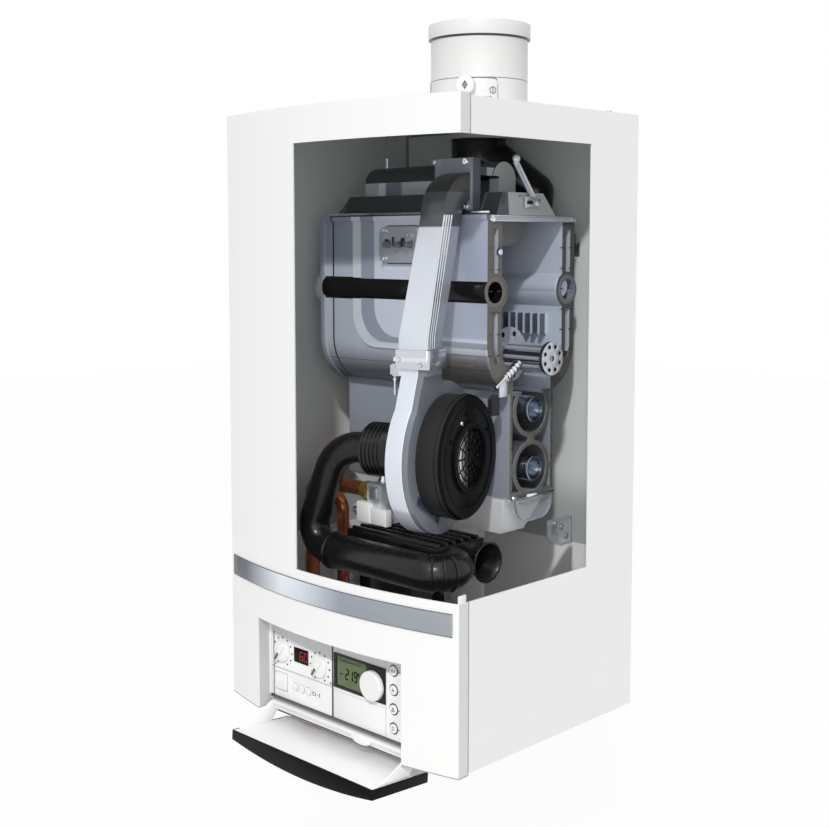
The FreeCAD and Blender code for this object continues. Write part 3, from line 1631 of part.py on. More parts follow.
def all_nodes():
    nodes = {
        "front_cover": front_cover(), "trim_strip": trim_strip(), "left_side_panel": side_panel(-1),
        "right_side_panel": right_side_panel(), "rear_panel": rear_panel(), "top_panel": top_panel(),
        "bottom_panel": bottom_panel(), "casing_screws": casing_screws(), "wall_bracket": wall_bracket(),
        "wall_spacer": wall_spacer(), "flue_adapter": flue_adapter(), "flue_test_caps": flue_test_caps(),
        "flue_inner_pipe": flue_inner_pipe(), "flue_duct": flue_duct(), "left_fascia": left_fascia(),
        "right_fascia": right_fascia(), "led_window": led_window(), "display_bezel": display_bezel(),
        "lcd_window": lcd_window(), "control_box": control_box(), "control_board": control_board(),
        "left_knob": knob(knob_centers[0]), "right_knob": knob(knob_centers[1]), "dial": dial(),
        "mains_switch": mains_switch(), "flap_cover": flap_cover(), "flap_tray": flap_tray(),
        "flap_arms": flap_arms(), "hinge_pins": hinge_pins(), "exchanger_drum": exchanger_drum(),
        "header_tubes": header_tubes(), "exchanger_neck": exchanger_neck(), "port_tubes": port_tubes(),
        "displacer_bundle": displacer_bundle(), "burner_hood": burner_hood(), "burner": burner(),
        "inspection_cover": inspection_cover(), "electrodes": electrodes(), "fan_scroll": fan_scroll(),
        "fan_impeller": fan_impeller(), "fan_motor": fan_motor(), "mixing_duct": mixing_duct(),
        "duct_clamp": duct_clamp(), "intake_pipe": intake_pipe(), "silencer": silencer(),
        "gas_valve": gas_valve(),
        "gas_union": gas_union(), "gas_pipe": gas_pipe(), "flow_pipe": flow_pipe(),
        "return_pipe": return_pipe(),
        "circulation_pump": circulation_pump(), "condensate_sump": condensate_sump(), "siphon": siphon(),
    }
    for number, x in enumerate(key_x, 1):
        nodes["small_key_%d" % number] = round_key((x, key_z), key_radius, key_flange)
    for number, center in enumerate(round_button_centers(), 1):
        nodes["round_button_%d" % number] = round_key(center, round_button_radius, button_flange)
    return nodes


os.makedirs("parts", exist_ok=True)
for name, shape in all_nodes().items():
    solids = len(shape.Solids)
    print(name, "solids", solids, "valid", shape.isValid(), "volume", round(shape.Volume))
    shape.exportStep("parts/" + name + ".step")
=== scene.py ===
import bpy
import math
from mathutils import Matrix, Vector


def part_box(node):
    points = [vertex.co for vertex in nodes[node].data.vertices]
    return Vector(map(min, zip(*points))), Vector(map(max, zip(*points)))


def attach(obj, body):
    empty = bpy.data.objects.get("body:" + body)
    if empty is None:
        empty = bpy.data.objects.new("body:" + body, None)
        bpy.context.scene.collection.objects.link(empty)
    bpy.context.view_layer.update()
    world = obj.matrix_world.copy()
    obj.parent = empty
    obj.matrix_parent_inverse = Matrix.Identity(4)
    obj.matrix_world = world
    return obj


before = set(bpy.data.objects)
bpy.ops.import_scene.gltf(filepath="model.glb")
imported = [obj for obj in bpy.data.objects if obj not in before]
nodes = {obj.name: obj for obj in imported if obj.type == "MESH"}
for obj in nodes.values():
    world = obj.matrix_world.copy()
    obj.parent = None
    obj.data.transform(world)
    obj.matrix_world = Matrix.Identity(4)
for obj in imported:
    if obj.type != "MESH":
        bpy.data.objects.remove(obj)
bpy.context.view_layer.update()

print("frame loaded:", len(nodes), "nodes")


# small helpers for node trees
def feedNode(tree, node, values):
    for place, value in enumerate(values):
        if value is None:
            continue
        if hasattr(value, "is_output"):
            tree.links.new(value, node.inputs[place])
        else:
            node.inputs[place].default_value = value


def mathNode(tree, operation, first, second=None, clamp=False):
    node = tree.nodes.new("ShaderNodeMath")
    node.operation = operation
    node.use_clamp = clamp
    feedNode(tree, node, (first, second))
    return node.outputs[0]


def vectorNode(tree, operation, first, second=None, scale=None):
    node = tree.nodes.new("ShaderNodeVectorMath")
    node.operation = operation
    feedNode(tree, node, (first, second))
    if scale is not None:
        tree.links.new(scale, node.inputs["Scale"])
    return node


# the stage: camera at the photograph's angle, pale floor far below the wall-hung case
stageValues = {
    "cameraPlace": (1.22606, -1.45476, 0.64614),
    "cameraTurn": (math.radians(85.0), 0.0, 0.7783),
    "lens": 55.58,
    "sensor": 36.0,
    "shiftY": -0.073,
    "clipStart": 0.05,
    # each lamp: where it shines from, its strength and its width in degrees
    "lamps": {"keyLamp": ((0.74, -1.0, 1.02), 1.72, 3.0),
              "sideLamp": ((0.9, -1.0, 0.12), 0.64, 45.0),
              "topLamp": ((0.1, -0.3, 1.0), 0.45, 45.0)},
    "lampReach": 3.0,
    "skyFill": 0.34,
    "floorLevel": -0.32,
    "floorSize": 14.0,
    "floorTone": 0.82,
    "floorRough": 0.9,
    "floorGlow": 0.96,
}


def aimLamp(name, source, strength, degrees, reach):
    lamp = bpy.data.lights.new(name, "SUN")
    lamp.energy = strength
    lamp.angle = math.radians(degrees)
    holder = bpy.data.objects.new(name, lamp)
    bpy.context.scene.collection.objects.link(holder)
    holder.rotation_euler = Vector(source).to_track_quat("Z", "Y").to_euler()
    holder.location = Vector(source).normalized() * reach


def placeCamera(v):
    scene = bpy.context.scene
    eye = bpy.data.cameras.new("photoCamera")
    eye.lens = v["lens"]
    eye.sensor_width = v["sensor"]
    eye.shift_y = v["shiftY"]
    eye.clip_start = v["clipStart"]
    holder = bpy.data.objects.new("photoCamera", eye)
    holder.location = v["cameraPlace"]
    holder.rotation_euler = v["cameraTurn"]
    scene.collection.objects.link(holder)
    scene.camera = holder


def paleRoom(v):
    # white to the lens, to mirrors and through glass, softer as plain light
    world = bpy.data.worlds.new("paleRoom")
    world.use_nodes = True
    bpy.context.scene.world = world
    tree = world.node_tree
    tree.nodes.clear()
    rays = tree.nodes.new("ShaderNodeLightPath").outputs
    seen = mathNode(tree, "MAXIMUM", rays["Is Camera Ray"], rays["Is Transmission Ray"])
    seen = mathNode(tree, "MAXIMUM", seen, rays["Is Glossy Ray"])
    level = tree.nodes.new("ShaderNodeMapRange")
    level.inputs["To Min"].default_value = v["skyFill"]
    level.inputs["To Max"].default_value = 1.0
    tree.links.new(seen, level.inputs["Value"])
    back = tree.nodes.new("ShaderNodeBackground")
    back.inputs["Color"].default_value = (1.0, 1.0, 1.0, 1.0)
    tree.links.new(level.outputs["Result"], back.inputs["Strength"])
    out = tree.nodes.new("ShaderNodeOutputWorld")
    tree.links.new(back.outputs[0], out.inputs["Surface"])


def paleFloor(v):
    bpy.ops.object.select_all(action="DESELECT")
    bpy.ops.mesh.primitive_plane_add(size=v["floorSize"], location=(0, 0, v["floorLevel"]))
    floor = bpy.context.object
    floor.name = "paleFloor"
    paper = bpy.data.materials.new("palePaper")
    paper.use_nodes = True
    tree = paper.node_tree
    shader = tree.nodes["Principled BSDF"]
    shader.inputs["Base Color"].default_value = (*[v["floorTone"]] * 3, 1.0)
    shader.inputs["Roughness"].default_value = v["floorRough"]
    rays = tree.nodes.new("ShaderNodeLightPath").outputs
    seen = mathNode(tree, "MAXIMUM", rays["Is Camera Ray"], rays["Is Glossy Ray"])
    glow = tree.nodes.new("ShaderNodeEmission")
    mix = tree.nodes.new("ShaderNodeMixShader")
    tree.links.new(mathNode(tree, "MULTIPLY", seen, v["floorGlow"]), mix.inputs["Fac"])
    tree.links.new(shader.outputs[0], mix.inputs[1])
    tree.links.new(glow.outputs[0], mix.inputs[2])
    tree.links.new(mix.outputs[0], tree.nodes["Material Output"].inputs["Surface"])
    floor.data.materials.append(paper)


bpy.context.scene.view_settings.view_transform = "Standard"
placeCamera(stageValues)
for lampName, (source, strength, degrees) in stageValues["lamps"].items():
    aimLamp(lampName, source, strength, degrees, stageValues["lampReach"])
paleRoom(stageValues)
paleFloor(stageValues)
print("stage set")


# shader groups shared by the finishes
def groupWithSockets(name, inputs, outputs):
    group = bpy.data.node_groups.new(name, "ShaderNodeTree")
    for label, kind, value in inputs:
        socket = group.interface.new_socket(label, in_out="INPUT", socket_type=kind)
        if value is not None:
            socket.default_value = value
    for label, kind in outputs:
        group.interface.new_socket(label, in_out="OUTPUT", socket_type=kind)
    return group, group.nodes.new("NodeGroupInput"), group.nodes.new("NodeGroupOutput")


grainValues = {"fineDetail": 3.0, "broadDetail": 2.0, "broadScale": 0.045, "fineShare": 0.4,
               "broadShare": 0.6}


def buildGrain(v):
    group, source, out = groupWithSockets("surfaceGrain", [
        ("Vector", "NodeSocketVector", None), ("Scale", "NodeSocketFloat", 300.0),
        ("Tone Spread", "NodeSocketFloat", 0.02), ("Rough", "NodeSocketFloat", 0.4),
        ("Rough Spread", "NodeSocketFloat", 0.08)],
        [("Tone", "NodeSocketFloat"), ("Rough", "NodeSocketFloat"), ("Height", "NodeSocketFloat")])
    fine = group.nodes.new("ShaderNodeTexNoise")
    fine.inputs["Detail"].default_value = v["fineDetail"]
    group.links.new(source.outputs["Vector"], fine.inputs["Vector"])
    group.links.new(source.outputs["Scale"], fine.inputs["Scale"])
    broad = group.nodes.new("ShaderNodeTexNoise")
    broad.inputs["Detail"].default_value = v["broadDetail"]
    group.links.new(source.outputs["Vector"], broad.inputs["Vector"])
    wide = mathNode(group, "MULTIPLY", source.outputs["Scale"], v["broadScale"])
    group.links.new(wide, broad.inputs["Scale"])
    both = mathNode(group, "ADD", mathNode(group, "MULTIPLY", fine.outputs["Fac"], v["fineShare"]),
                    mathNode(group, "MULTIPLY", broad.outputs["Fac"], v["broadShare"]))
    centred = mathNode(group, "SUBTRACT", both, 0.5)
    tone = mathNode(group, "MULTIPLY", centred, source.outputs["Tone Spread"])
    group.links.new(mathNode(group, "ADD", tone, 1.0), out.inputs["Tone"])
    rough = mathNode(group, "MULTIPLY", centred, source.outputs["Rough Spread"])
    rough = mathNode(group, "ADD", rough, source.outputs["Rough"], True)
    group.links.new(rough, out.inputs["Rough"])
    group.links.new(fine.outputs["Fac"], out.inputs["Height"])
    return group


def buildBand():
    group, source, out = groupWithSockets("bandMask", [
        ("Value", "NodeSocketFloat", 0.0), ("Low", "NodeSocketFloat", 0.0),
        ("High", "NodeSocketFloat", 1.0), ("Soft", "NodeSocketFloat", 0.0002)],
        [("Mask", "NodeSocketFloat")])
    edges = []
    for label in ("Low", "High"):
        rise = group.nodes.new("ShaderNodeMapRange")
        rise.interpolation_type = "SMOOTHSTEP"
        edge = source.outputs[label]
        soft = source.outputs["Soft"]
        group.links.new(source.outputs["Value"], rise.inputs["Value"])
        group.links.new(mathNode(group, "SUBTRACT", edge, soft), rise.inputs["From Min"])
        group.links.new(mathNode(group, "ADD", edge, soft), rise.inputs["From Max"])
        edges.append(rise.outputs["Result"])
    group.links.new(mathNode(group, "SUBTRACT", edges[0], edges[1], True), out.inputs["Mask"])
    return group


def buildInside():
    # 1 on the inner faces of the sheet-metal case, 0 on its outer faces and cut edges
    group, source, out = groupWithSockets("insideCase", [
        ("Vector", "NodeSocketVector", None), ("Half Width", "NodeSocketFloat", 0.2182),
        ("Bow Radius", "NodeSocketFloat", 0.8), ("Bow Depth", "NodeSocketFloat", 0.4),
        ("Low", "NodeSocketFloat", 0.0), ("High", "NodeSocketFloat", 0.8),
        ("Rear", "NodeSocketFloat", 0.0)],
        [("Mask", "NodeSocketFloat")])
    parts = group.nodes.new("ShaderNodeSeparateXYZ")
    group.links.new(source.outputs["Vector"], parts.inputs[0])
    x, y, z = parts.outputs
    within = mathNode(group, "LESS_THAN", mathNode(group, "ABSOLUTE", x), source.outputs["Half Width"])
    behind = mathNode(group, "SUBTRACT", y, source.outputs["Bow Depth"])
    reach = mathNode(group, "SQRT", mathNode(group, "ADD", mathNode(group, "MULTIPLY", x, x),
                                             mathNode(group, "MULTIPLY", behind, behind)))
    for test in (mathNode(group, "LESS_THAN", reach, source.outputs["Bow Radius"]),
                 mathNode(group, "GREATER_THAN", z, source.outputs["Low"]),
                 mathNode(group, "LESS_THAN", z, source.outputs["High"]),
                 mathNode(group, "LESS_THAN", y, source.outputs["Rear"])):
        within = mathNode(group, "MULTIPLY", within, test)
    group.links.new(within, out.inputs["Mask"])
    return group


grainGroup = buildGrain(grainValues)
bandGroup = buildBand()
insideGroup = buildInside()


def paint(red, green, blue):
    # a colour as it looks on screen, 0 to 255, turned into light
    return tuple(((c / 255) / 12.92 if c <= 10 else ((c / 255 + 0.055) / 1.055) ** 2.4)
                 for c in (red, green, blue))


def bandSocket(tree, place, axes, band):
    axis, low, high, soft = band[:4]
    if axis in axes:
        value = axes[axis]
    elif axis == "frame":
        # distance outside a rounded rectangle in the front view: middle x, z, half sizes, corner radius
        midX, midZ, halfX, halfZ, corner = band[4]
        away = vectorNode(tree, "SUBTRACT", place, (midX, 0, midZ)).outputs["Vector"]
        flat = vectorNode(tree, "MULTIPLY", away, (1, 0, 1)).outputs["Vector"]
        past = vectorNode(tree, "SUBTRACT", vectorNode(tree, "ABSOLUTE", flat).outputs["Vector"],
                          (halfX - corner, 0, halfZ - corner)).outputs["Vector"]
        outside = vectorNode(tree, "MAXIMUM", past, (0, 0, 0)).outputs["Vector"]
        value = mathNode(tree, "SUBTRACT", vectorNode(tree, "LENGTH", outside).outputs["Value"], corner)
    elif axis == "along":
        # distance along a direction from a point
        away = vectorNode(tree, "SUBTRACT", place, band[4]).outputs["Vector"]
        value = vectorNode(tree, "DOT_PRODUCT", away, band[5]).outputs["Value"]
    elif axis == "facing":
        # how squarely the surface looks along a direction
        value = vectorNode(tree, "DOT_PRODUCT", axes["normal"], band[4]).outputs["Value"]
    else:
        # distance from an axis through a point
        away = vectorNode(tree, "SUBTRACT", place, band[4]).outputs["Vector"]
        keep = {"aroundX": (0, 1, 1), "aroundY": (1, 0, 1), "aroundZ": (1, 1, 0)}[axis]
        flat = vectorNode(tree, "MULTIPLY", away, keep).outputs["Vector"]
        value = vectorNode(tree, "LENGTH", flat).outputs["Value"]
    mask = tree.nodes.new("ShaderNodeGroup")
    mask.node_tree = bandGroup
    tree.links.new(value, mask.inputs["Value"])
    mask.inputs["Low"].default_value = low
    mask.inputs["High"].default_value = high
    mask.inputs["Soft"].default_value = soft
    return mask.outputs["Mask"]


def makeFinish(name, v):
    # color, rough and grain all over; ramp and layers change them from place to place
    finish = bpy.data.materials.new(name)
    finish.use_nodes = True
    tree = finish.node_tree
    shader = tree.nodes["Principled BSDF"]
    source = tree.nodes.new("ShaderNodeTexCoord")
    coords = source.outputs["Object"]
    parts = tree.nodes.new("ShaderNodeSeparateXYZ")
    tree.links.new(coords, parts.inputs[0])
    axes = {"x": parts.outputs[0], "y": parts.outputs[1], "z": parts.outputs[2],
            "normal": source.outputs["Normal"]}
    stretched = tree.nodes.new("ShaderNodeMapping")
    stretched.inputs["Scale"].default_value = v.get("stretch", (1, 1, 1))
    tree.links.new(coords, stretched.inputs["Vector"])
    grain = tree.nodes.new("ShaderNodeGroup")
    grain.node_tree = grainGroup
    tree.links.new(stretched.outputs[0], grain.inputs["Vector"])
    grain.inputs["Scale"].default_value = v.get("scale", 400.0)
    grain.inputs["Tone Spread"].default_value = v.get("spread", 0.06)
    grain.inputs["Rough"].default_value = v["rough"]
    grain.inputs["Rough Spread"].default_value = v.get("roughSpread", 0.12)
    rough = grain.outputs["Rough"]
    if "ramp" in v:
        axis, low, high, stops = v["ramp"]
        along = tree.nodes.new("ShaderNodeMapRange")
        along.inputs["From Min"].default_value = low
        along.inputs["From Max"].default_value = high
        tree.links.new(axes[axis], along.inputs["Value"])
        ramp = tree.nodes.new("ShaderNodeValToRGB")
        for place, stop in enumerate(stops):
            stopsMade = ramp.color_ramp.elements
            point = stopsMade[place] if place < 2 else stopsMade.new(1.0)
            point.position = stop[0]
            point.color = (*paint(*stop[1]), 1.0)
        tree.links.new(along.outputs[0], ramp.inputs[0])
        plain = ramp.outputs["Color"]
    else:
        plain = paint(*v["color"])
    color = vectorNode(tree, "SCALE", plain, None, grain.outputs["Tone"]).outputs["Vector"]
    for layer in v.get("layers", ()):
        mask = None
        if layer.get("inside"):
            inner = tree.nodes.new("ShaderNodeGroup")
            inner.node_tree = insideGroup
            tree.links.new(coords, inner.inputs["Vector"])
            for label, value in layer["inside"].items():
                inner.inputs[label].default_value = value
            mask = inner.outputs["Mask"]
        for band in layer.get("bands", ()):
            one = bandSocket(tree, coords, axes, band)
            mask = one if mask is None else mathNode(tree, "MULTIPLY", mask, one)
        if "share" in layer:
            mask = mathNode(tree, "MULTIPLY", mask, layer["share"])
        over = tree.nodes.new("ShaderNodeMix")
        over.data_type = "VECTOR"
        tree.links.new(mask, over.inputs[0])
        tree.links.new(color, over.inputs[4])
        tinted = vectorNode(tree, "SCALE", paint(*layer["color"]), None, grain.outputs["Tone"])
        tree.links.new(tinted.outputs["Vector"], over.inputs[5])
        color = over.outputs[1]
        if "rough" in layer:
            blend = tree.nodes.new("ShaderNodeMix")
            tree.links.new(mask, blend.inputs[0])
            tree.links.new(rough, blend.inputs[2])
            blend.inputs[3].default_value = layer["rough"]
            rough = blend.outputs[0]
        if "metallic" in layer:
            shine = tree.nodes.new("ShaderNodeMix")
            tree.links.new(mask, shine.inputs[0])
            before = shader.inputs["Metallic"].links
            if before:
                tree.links.new(before[0].from_socket, shine.inputs[2])
            else:
                shine.inputs[2].default_value = v.get("metallic", 0.0)
            shine.inputs[3].default_value = layer["metallic"]
            tree.links.new(shine.outputs[0], shader.inputs["Metallic"])
    tree.links.new(color, shader.inputs["Base Color"])
    tree.links.new(rough, shader.inputs["Roughness"])
    shader.inputs["Metallic"].default_value = v.get("metallic", 0.0)
    shader.inputs["Coat Weight"].default_value = v.get("coat", 0.0)
    shader.inputs["Coat Roughness"].default_value = v.get("coatRough", 0.08)
    shader.inputs["Specular IOR Level"].default_value = v.get("specular", 0.5)
    shader.inputs["Transmission Weight"].default_value = v.get("glass", 0.0)
    shader.inputs["IOR"].default_value = v.get("ior", 1.5)
    if "glow" in v:
        shader.inputs["Emission Color"].default_value = (*paint(*v["glow"]), 1.0)
        shader.inputs["Emission Strength"].default_value = v.get("glowStrength", 1.0)
    bump = tree.nodes.new("ShaderNodeBump")
    bump.inputs["Strength"].default_value = v.get("bump", 0.08)
    bump.inputs["Distance"].default_value = v.get("bumpDepth", 0.0004)
    tree.links.new(grain.outputs["Height"], bump.inputs["Height"])
    tree.links.new(bump.outputs[0], shader.inputs["Normal"])
    return finish


# smooth shading and softened edges for the CAD nodes, as live modifiers
nodeEdges = {"smoothAngle": 32, "weld": 0.00002, "segments": 2, "bevelAngle": 40}


def buildSoftShade():
    group = bpy.data.node_groups.new("softShade", "GeometryNodeTree")
    group.interface.new_socket("Geometry", in_out="INPUT", socket_type="NodeSocketGeometry")
    group.interface.new_socket("Geometry", in_out="OUTPUT", socket_type="NodeSocketGeometry")
    source = group.nodes.new("NodeGroupInput")
    out = group.nodes.new("NodeGroupOutput")
    angle = group.nodes.new("GeometryNodeInputMeshEdgeAngle")
    gentle = group.nodes.new("FunctionNodeCompare")
    gentle.operation = "LESS_THAN"
    gentle.inputs[1].default_value = math.radians(nodeEdges["smoothAngle"])
    group.links.new(angle.outputs["Unsigned Angle"], gentle.inputs[0])
    faces = group.nodes.new("GeometryNodeSetShadeSmooth")
    faces.domain = "FACE"
    group.links.new(source.outputs[0], faces.inputs["Geometry"])
    edges = group.nodes.new("GeometryNodeSetShadeSmooth")
    edges.domain = "EDGE"
    group.links.new(faces.outputs["Geometry"], edges.inputs["Geometry"])
    group.links.new(gentle.outputs["Result"], edges.inputs["Shade Smooth"])
    group.links.new(edges.outputs["Geometry"], out.inputs[0])
    return group


softShade = buildSoftShade()


def coatNode(name, finish, edge=0.0004):
    piece = nodes[name]
    piece.data.materials.clear()
    piece.data.materials.append(finish)
    weld = piece.modifiers.new("closedSeams", "WELD")
    weld.merge_threshold = nodeEdges["weld"]
    if edge:
        soften = piece.modifiers.new("softEdges", "BEVEL")
        soften.width = edge
        soften.segments = nodeEdges["segments"]
        soften.limit_method = "ANGLE"
        soften.angle_limit = math.radians(nodeEdges["bevelAngle"])
        soften.use_clamp_overlap = True
        soften.miter_outer = "MITER_ARC"
    shade = piece.modifiers.new("softShade", "NODES")
    shade.node_group = softShade


# modelling helpers: everything is made with operators on one selected piece
mergeGap = 0.000005


def soloSelect(piece):
    if bpy.context.mode != "OBJECT":
        bpy.ops.object.mode_set(mode="OBJECT")
    bpy.ops.object.select_all(action="DESELECT")
    piece.select_set(True)
    bpy.context.view_layer.objects.active = piece


def settle(piece):
    soloSelect(piece)
    bpy.ops.object.transform_apply(location=True, rotation=True, scale=True)
    return piece


def startBlock(name, low, high):
    bpy.ops.object.select_all(action="DESELECT")
    low, high = Vector(low), Vector(high)
    bpy.ops.mesh.primitive_cube_add(size=1.0, location=(low + high) / 2, scale=high - low)
    bpy.context.object.name = name
    return settle(bpy.context.object)


def pickFaces(piece, wanted):
    soloSelect(piece)
    bpy.ops.object.mode_set(mode="EDIT")
    bpy.ops.mesh.select_mode(type="FACE")
    bpy.ops.mesh.select_all(action="DESELECT")
    bpy.ops.object.mode_set(mode="OBJECT")
    for face in piece.data.polygons:
        face.select = wanted(face)
    bpy.ops.object.mode_set(mode="EDIT")


def pushFaces(piece, wanted, inset, move, scale=None):
    # inset the chosen faces, then draw them out by a move and an optional scale
    pickFaces(piece, wanted)
    if inset:
        bpy.ops.mesh.inset(thickness=inset)
    bpy.ops.mesh.extrude_region_move(TRANSFORM_OT_translate={"value": move})
    if scale:
        bpy.ops.object.mode_set(mode="OBJECT")
        spots = [piece.matrix_world @ f.center for f in piece.data.polygons if f.select]
        middle = sum(spots, Vector()) / len(spots)
        bpy.ops.object.mode_set(mode="EDIT")
        bpy.ops.transform.resize(value=scale, center_override=middle)
    bpy.ops.object.mode_set(mode="OBJECT")
    return piece


def facing(direction, limit=0.9):
    aim = Vector(direction).normalized()
    return lambda face: face.normal.dot(aim) > limit


def outward(piece):
    soloSelect(piece)
    bpy.ops.object.mode_set(mode="EDIT")
    bpy.ops.mesh.select_all(action="SELECT")
    bpy.ops.mesh.remove_doubles(threshold=mergeGap)
    bpy.ops.mesh.normals_make_consistent(inside=False)
    bpy.ops.object.mode_set(mode="OBJECT")
    return piece


def rounded(piece, width, segments=2, angle=35):
    soloSelect(piece)
    if width:
        tool = piece.modifiers.new("rounding", "BEVEL")
        tool.width = width
        tool.segments = segments
        tool.limit_method = "ANGLE"
        tool.angle_limit = math.radians(angle)
        bpy.ops.object.modifier_apply(modifier=tool.name)
    bpy.ops.object.shade_smooth_by_angle(angle=math.radians(angle))
    return piece


def turned(name, place, direction, steps, sides=40):
    # a disc drawn up step by step, (radius, height) along its axis, then laid along the direction
    bpy.ops.object.select_all(action="DESELECT")
    radius, height = steps[0]
    bpy.ops.mesh.primitive_circle_add(vertices=sides, radius=radius, fill_type="NGON",
                                      location=(0, 0, height))
    piece = bpy.context.object
    piece.name = name
    bpy.ops.object.transform_apply(location=True, rotation=True, scale=True)
    bpy.ops.object.mode_set(mode="EDIT")
    bpy.ops.mesh.select_all(action="SELECT")
    for nextRadius, nextHeight in steps[1:]:
        bpy.ops.mesh.extrude_region_move(TRANSFORM_OT_translate={"value": (0, 0, nextHeight - height)})
        share = nextRadius / radius
        bpy.ops.transform.resize(value=(share, share, 1.0), center_override=(0, 0, nextHeight))
        radius, height = nextRadius, nextHeight
    bpy.ops.object.mode_set(mode="OBJECT")
    piece.rotation_euler = Vector(direction).to_track_quat("Z", "Y").to_euler()
    piece.location = place
    return outward(settle(piece))


def hoop(name, place, direction, radius, thick, rise, sides=64):
    # a flat outline carried round an axis: a closed ring, thick across and rise along it
    bpy.ops.object.select_all(action="DESELECT")
    bpy.ops.mesh.primitive_plane_add(size=1.0, location=(radius, 0, rise / 2),
                                     rotation=(math.pi / 2, 0, 0))
    piece = bpy.context.object
    piece.name = name
    piece.scale = (thick, rise, 1.0)
    settle(piece)
    bpy.ops.object.mode_set(mode="EDIT")
    bpy.ops.mesh.select_all(action="SELECT")
    bpy.ops.mesh.delete(type="ONLY_FACE")
    bpy.ops.mesh.select_all(action="SELECT")
    bpy.ops.mesh.spin(steps=sides, angle=math.tau, center=(0, 0, 0), axis=(0, 0, 1))
    bpy.ops.object.mode_set(mode="OBJECT")
    piece.rotation_euler = Vector(direction).to_track_quat("Z", "Y").to_euler()
    piece.location = place
    return outward(settle(piece))


def wire(name, points, radius, sides=8, order=4):
    # a bent rod along a smooth path
    bpy.ops.object.select_all(action="DESELECT")
    bpy.ops.curve.primitive_nurbs_path_add(location=(0, 0, 0))
    piece = bpy.context.object
    piece.name = name
    path = piece.data.splines[0]
    if len(points) > len(path.points):
        path.points.add(len(points) - len(path.points))
    for place, point in enumerate(path.points):
        point.co = (*points[min(place, len(points) - 1)], 1.0)
    path.order_u = order
    path.use_endpoint_u = True
    piece.data.bevel_depth = radius
    piece.data.bevel_resolution = sides // 4
    piece.data.use_fill_caps = True
    soloSelect(piece)
    bpy.ops.object.convert(target="MESH")
    return outward(settle(bpy.context.object))


def copyOf(piece, place=(0, 0, 0), turn=None):
    twin = piece.copy()
    twin.data = piece.data.copy()
    bpy.context.scene.collection.objects.link(twin)
    if turn is not None:
        twin.rotation_euler = turn
    twin.location = place
    return settle(twin)


def joined(name, pieces):
    bpy.ops.object.select_all(action="DESELECT")
    for piece in pieces:
        piece.select_set(True)
    bpy.context.view_layer.objects.active = pieces[0]
    if len(pieces) > 1:
        bpy.ops.object.join()
    pieces[0].name = name
    return pieces[0]


def spread(name, master, spots, direction=(0, 0, 1)):
    # one modelled master, copied to its spots and laid along a direction
    turn = Vector(direction).to_track_quat("Z", "Y").to_euler()
    copies = [copyOf(master, spot, turn) for spot in spots]
    bpy.data.objects.remove(master)
    return joined(name, copies)


def dress(piece, finish, body="boiler"):
    piece.data.materials.clear()
    piece.data.materials.append(finish)
    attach(piece, body)
    return piece


screwShape = {"sunk": 0.0002, "shoulder": 0.6, "crown": 0.86, "socketFoot": 0.9, "socketDepth": 0.35,
              "sides": 20}


def screwMaster(radius, height, socket=0.5):
    v = screwShape
    hole = radius * socket
    head = turned("screwMaster", (0, 0, 0), (0, 0, 1),
                  [(radius, -v["sunk"]), (radius, height * v["shoulder"]), (radius * v["crown"], height),
                   (hole, height), (hole * v["socketFoot"], height * v["socketDepth"])], v["sides"])
    return rounded(head, 0)


milli = 0.001
cornerDepth = 0.358  # from the wall to the front corners of the case


def at(x, depth, z):
    # millimetres across, back from the front corners, and up, as a point of the shared frame
    return Vector((x * milli, depth * milli - cornerDepth, z * milli))


def shapedBlock(name, low, high, pushes=(), soft=0.0, segments=2):
    # a block, its faces inset and drawn out, (direction, inset, move, scale), then softened
    block = startBlock(name, low, high)
    for direction, *push in pushes:
        pushFaces(block, facing(direction), *push)
    return block if soft is None else rounded(block, soft, segments)


def placedBlock(name, v):
    # corners in millimetres, pushes in metres
    return shapedBlock(name, at(*v["low"]), at(*v["high"]), v.get("pushes", ()), v["soft"],
                       v.get("segments", 2))


def alikeBlocks(name, v):
    # blocks that share their pushes, joined to one piece
    return joined(name, [placedBlock(name, dict(v, low=low, high=high)) for low, high in v["corners"]])


def placedTurn(name, v, way):
    # its steps are shares of the radius and heights in metres
    steps = [(v["radius"] * share, height) for share, height in v["shares"]]
    return turned(name, at(*v["place"]), way, steps, v["sides"])


def tone(color, *bands, **more):
    # a layer of another colour where all its bands meet
    return dict(more, color=color, bands=bands)


toRight, toFront, toTop, toFloor = (1, 0, 0), (0, -1, 0), (0, 0, 1), (0, 0, -1)

# the sheet-metal case: white powder coat outside, grey-green inside
caseBow = {"radius": 0.82167, "front": 0.388, "sheet": 0.0018}
caseInside = {"Half Width": 0.21815, "Bow Radius": caseBow["radius"] - caseBow["sheet"],
              "Bow Depth": caseBow["radius"] - caseBow["front"], "Low": 0.2150, "High": 0.8131,
              "Rear": -0.0058}
# painted shade on the left wall of the control recess, used on the case and on the control box
recessWallShade = tone((196, 197, 199), ("x", -0.1432, -0.1375, 0.0002), ("y", -0.3744, -0.34, 0.0006),
                  ("z", -0.01, 0.1292, 0.0006))
sideReturn = tone((222, 223, 224), ("facing", 0.9, 2.0, 0.02, toRight), ("x", 0.2192, 0.23, 0.0001),
                  ("y", -0.40, -0.3412, 0.0002))
returnSeam = tone((150, 151, 153), ("x", 0.2180, 0.23, 0.0001), ("y", -0.3418, -0.3400, 0.0002))
lowEdge = tone((160, 161, 162), ("z", -0.01, 0.0014, 0.0003))
caseValues = {
    "color": (245, 245, 244), "rough": 0.36, "scale": 650.0, "spread": 0.02, "roughSpread": 0.06,
    "bump": 0.05, "coat": 0.15, "coatRough": 0.2,
    "layers": [tone((232, 237, 235), inside=caseInside, rough=0.55),
               # the lower inside of the case is darker towards the bottom: painted shade
               tone((180, 187, 185), ("z", 0.15, 0.29, 0.035), inside=caseInside),
               recessWallShade, sideReturn, returnSeam, lowEdge],
}
caseWhite = makeFinish("caseWhite", caseValues)
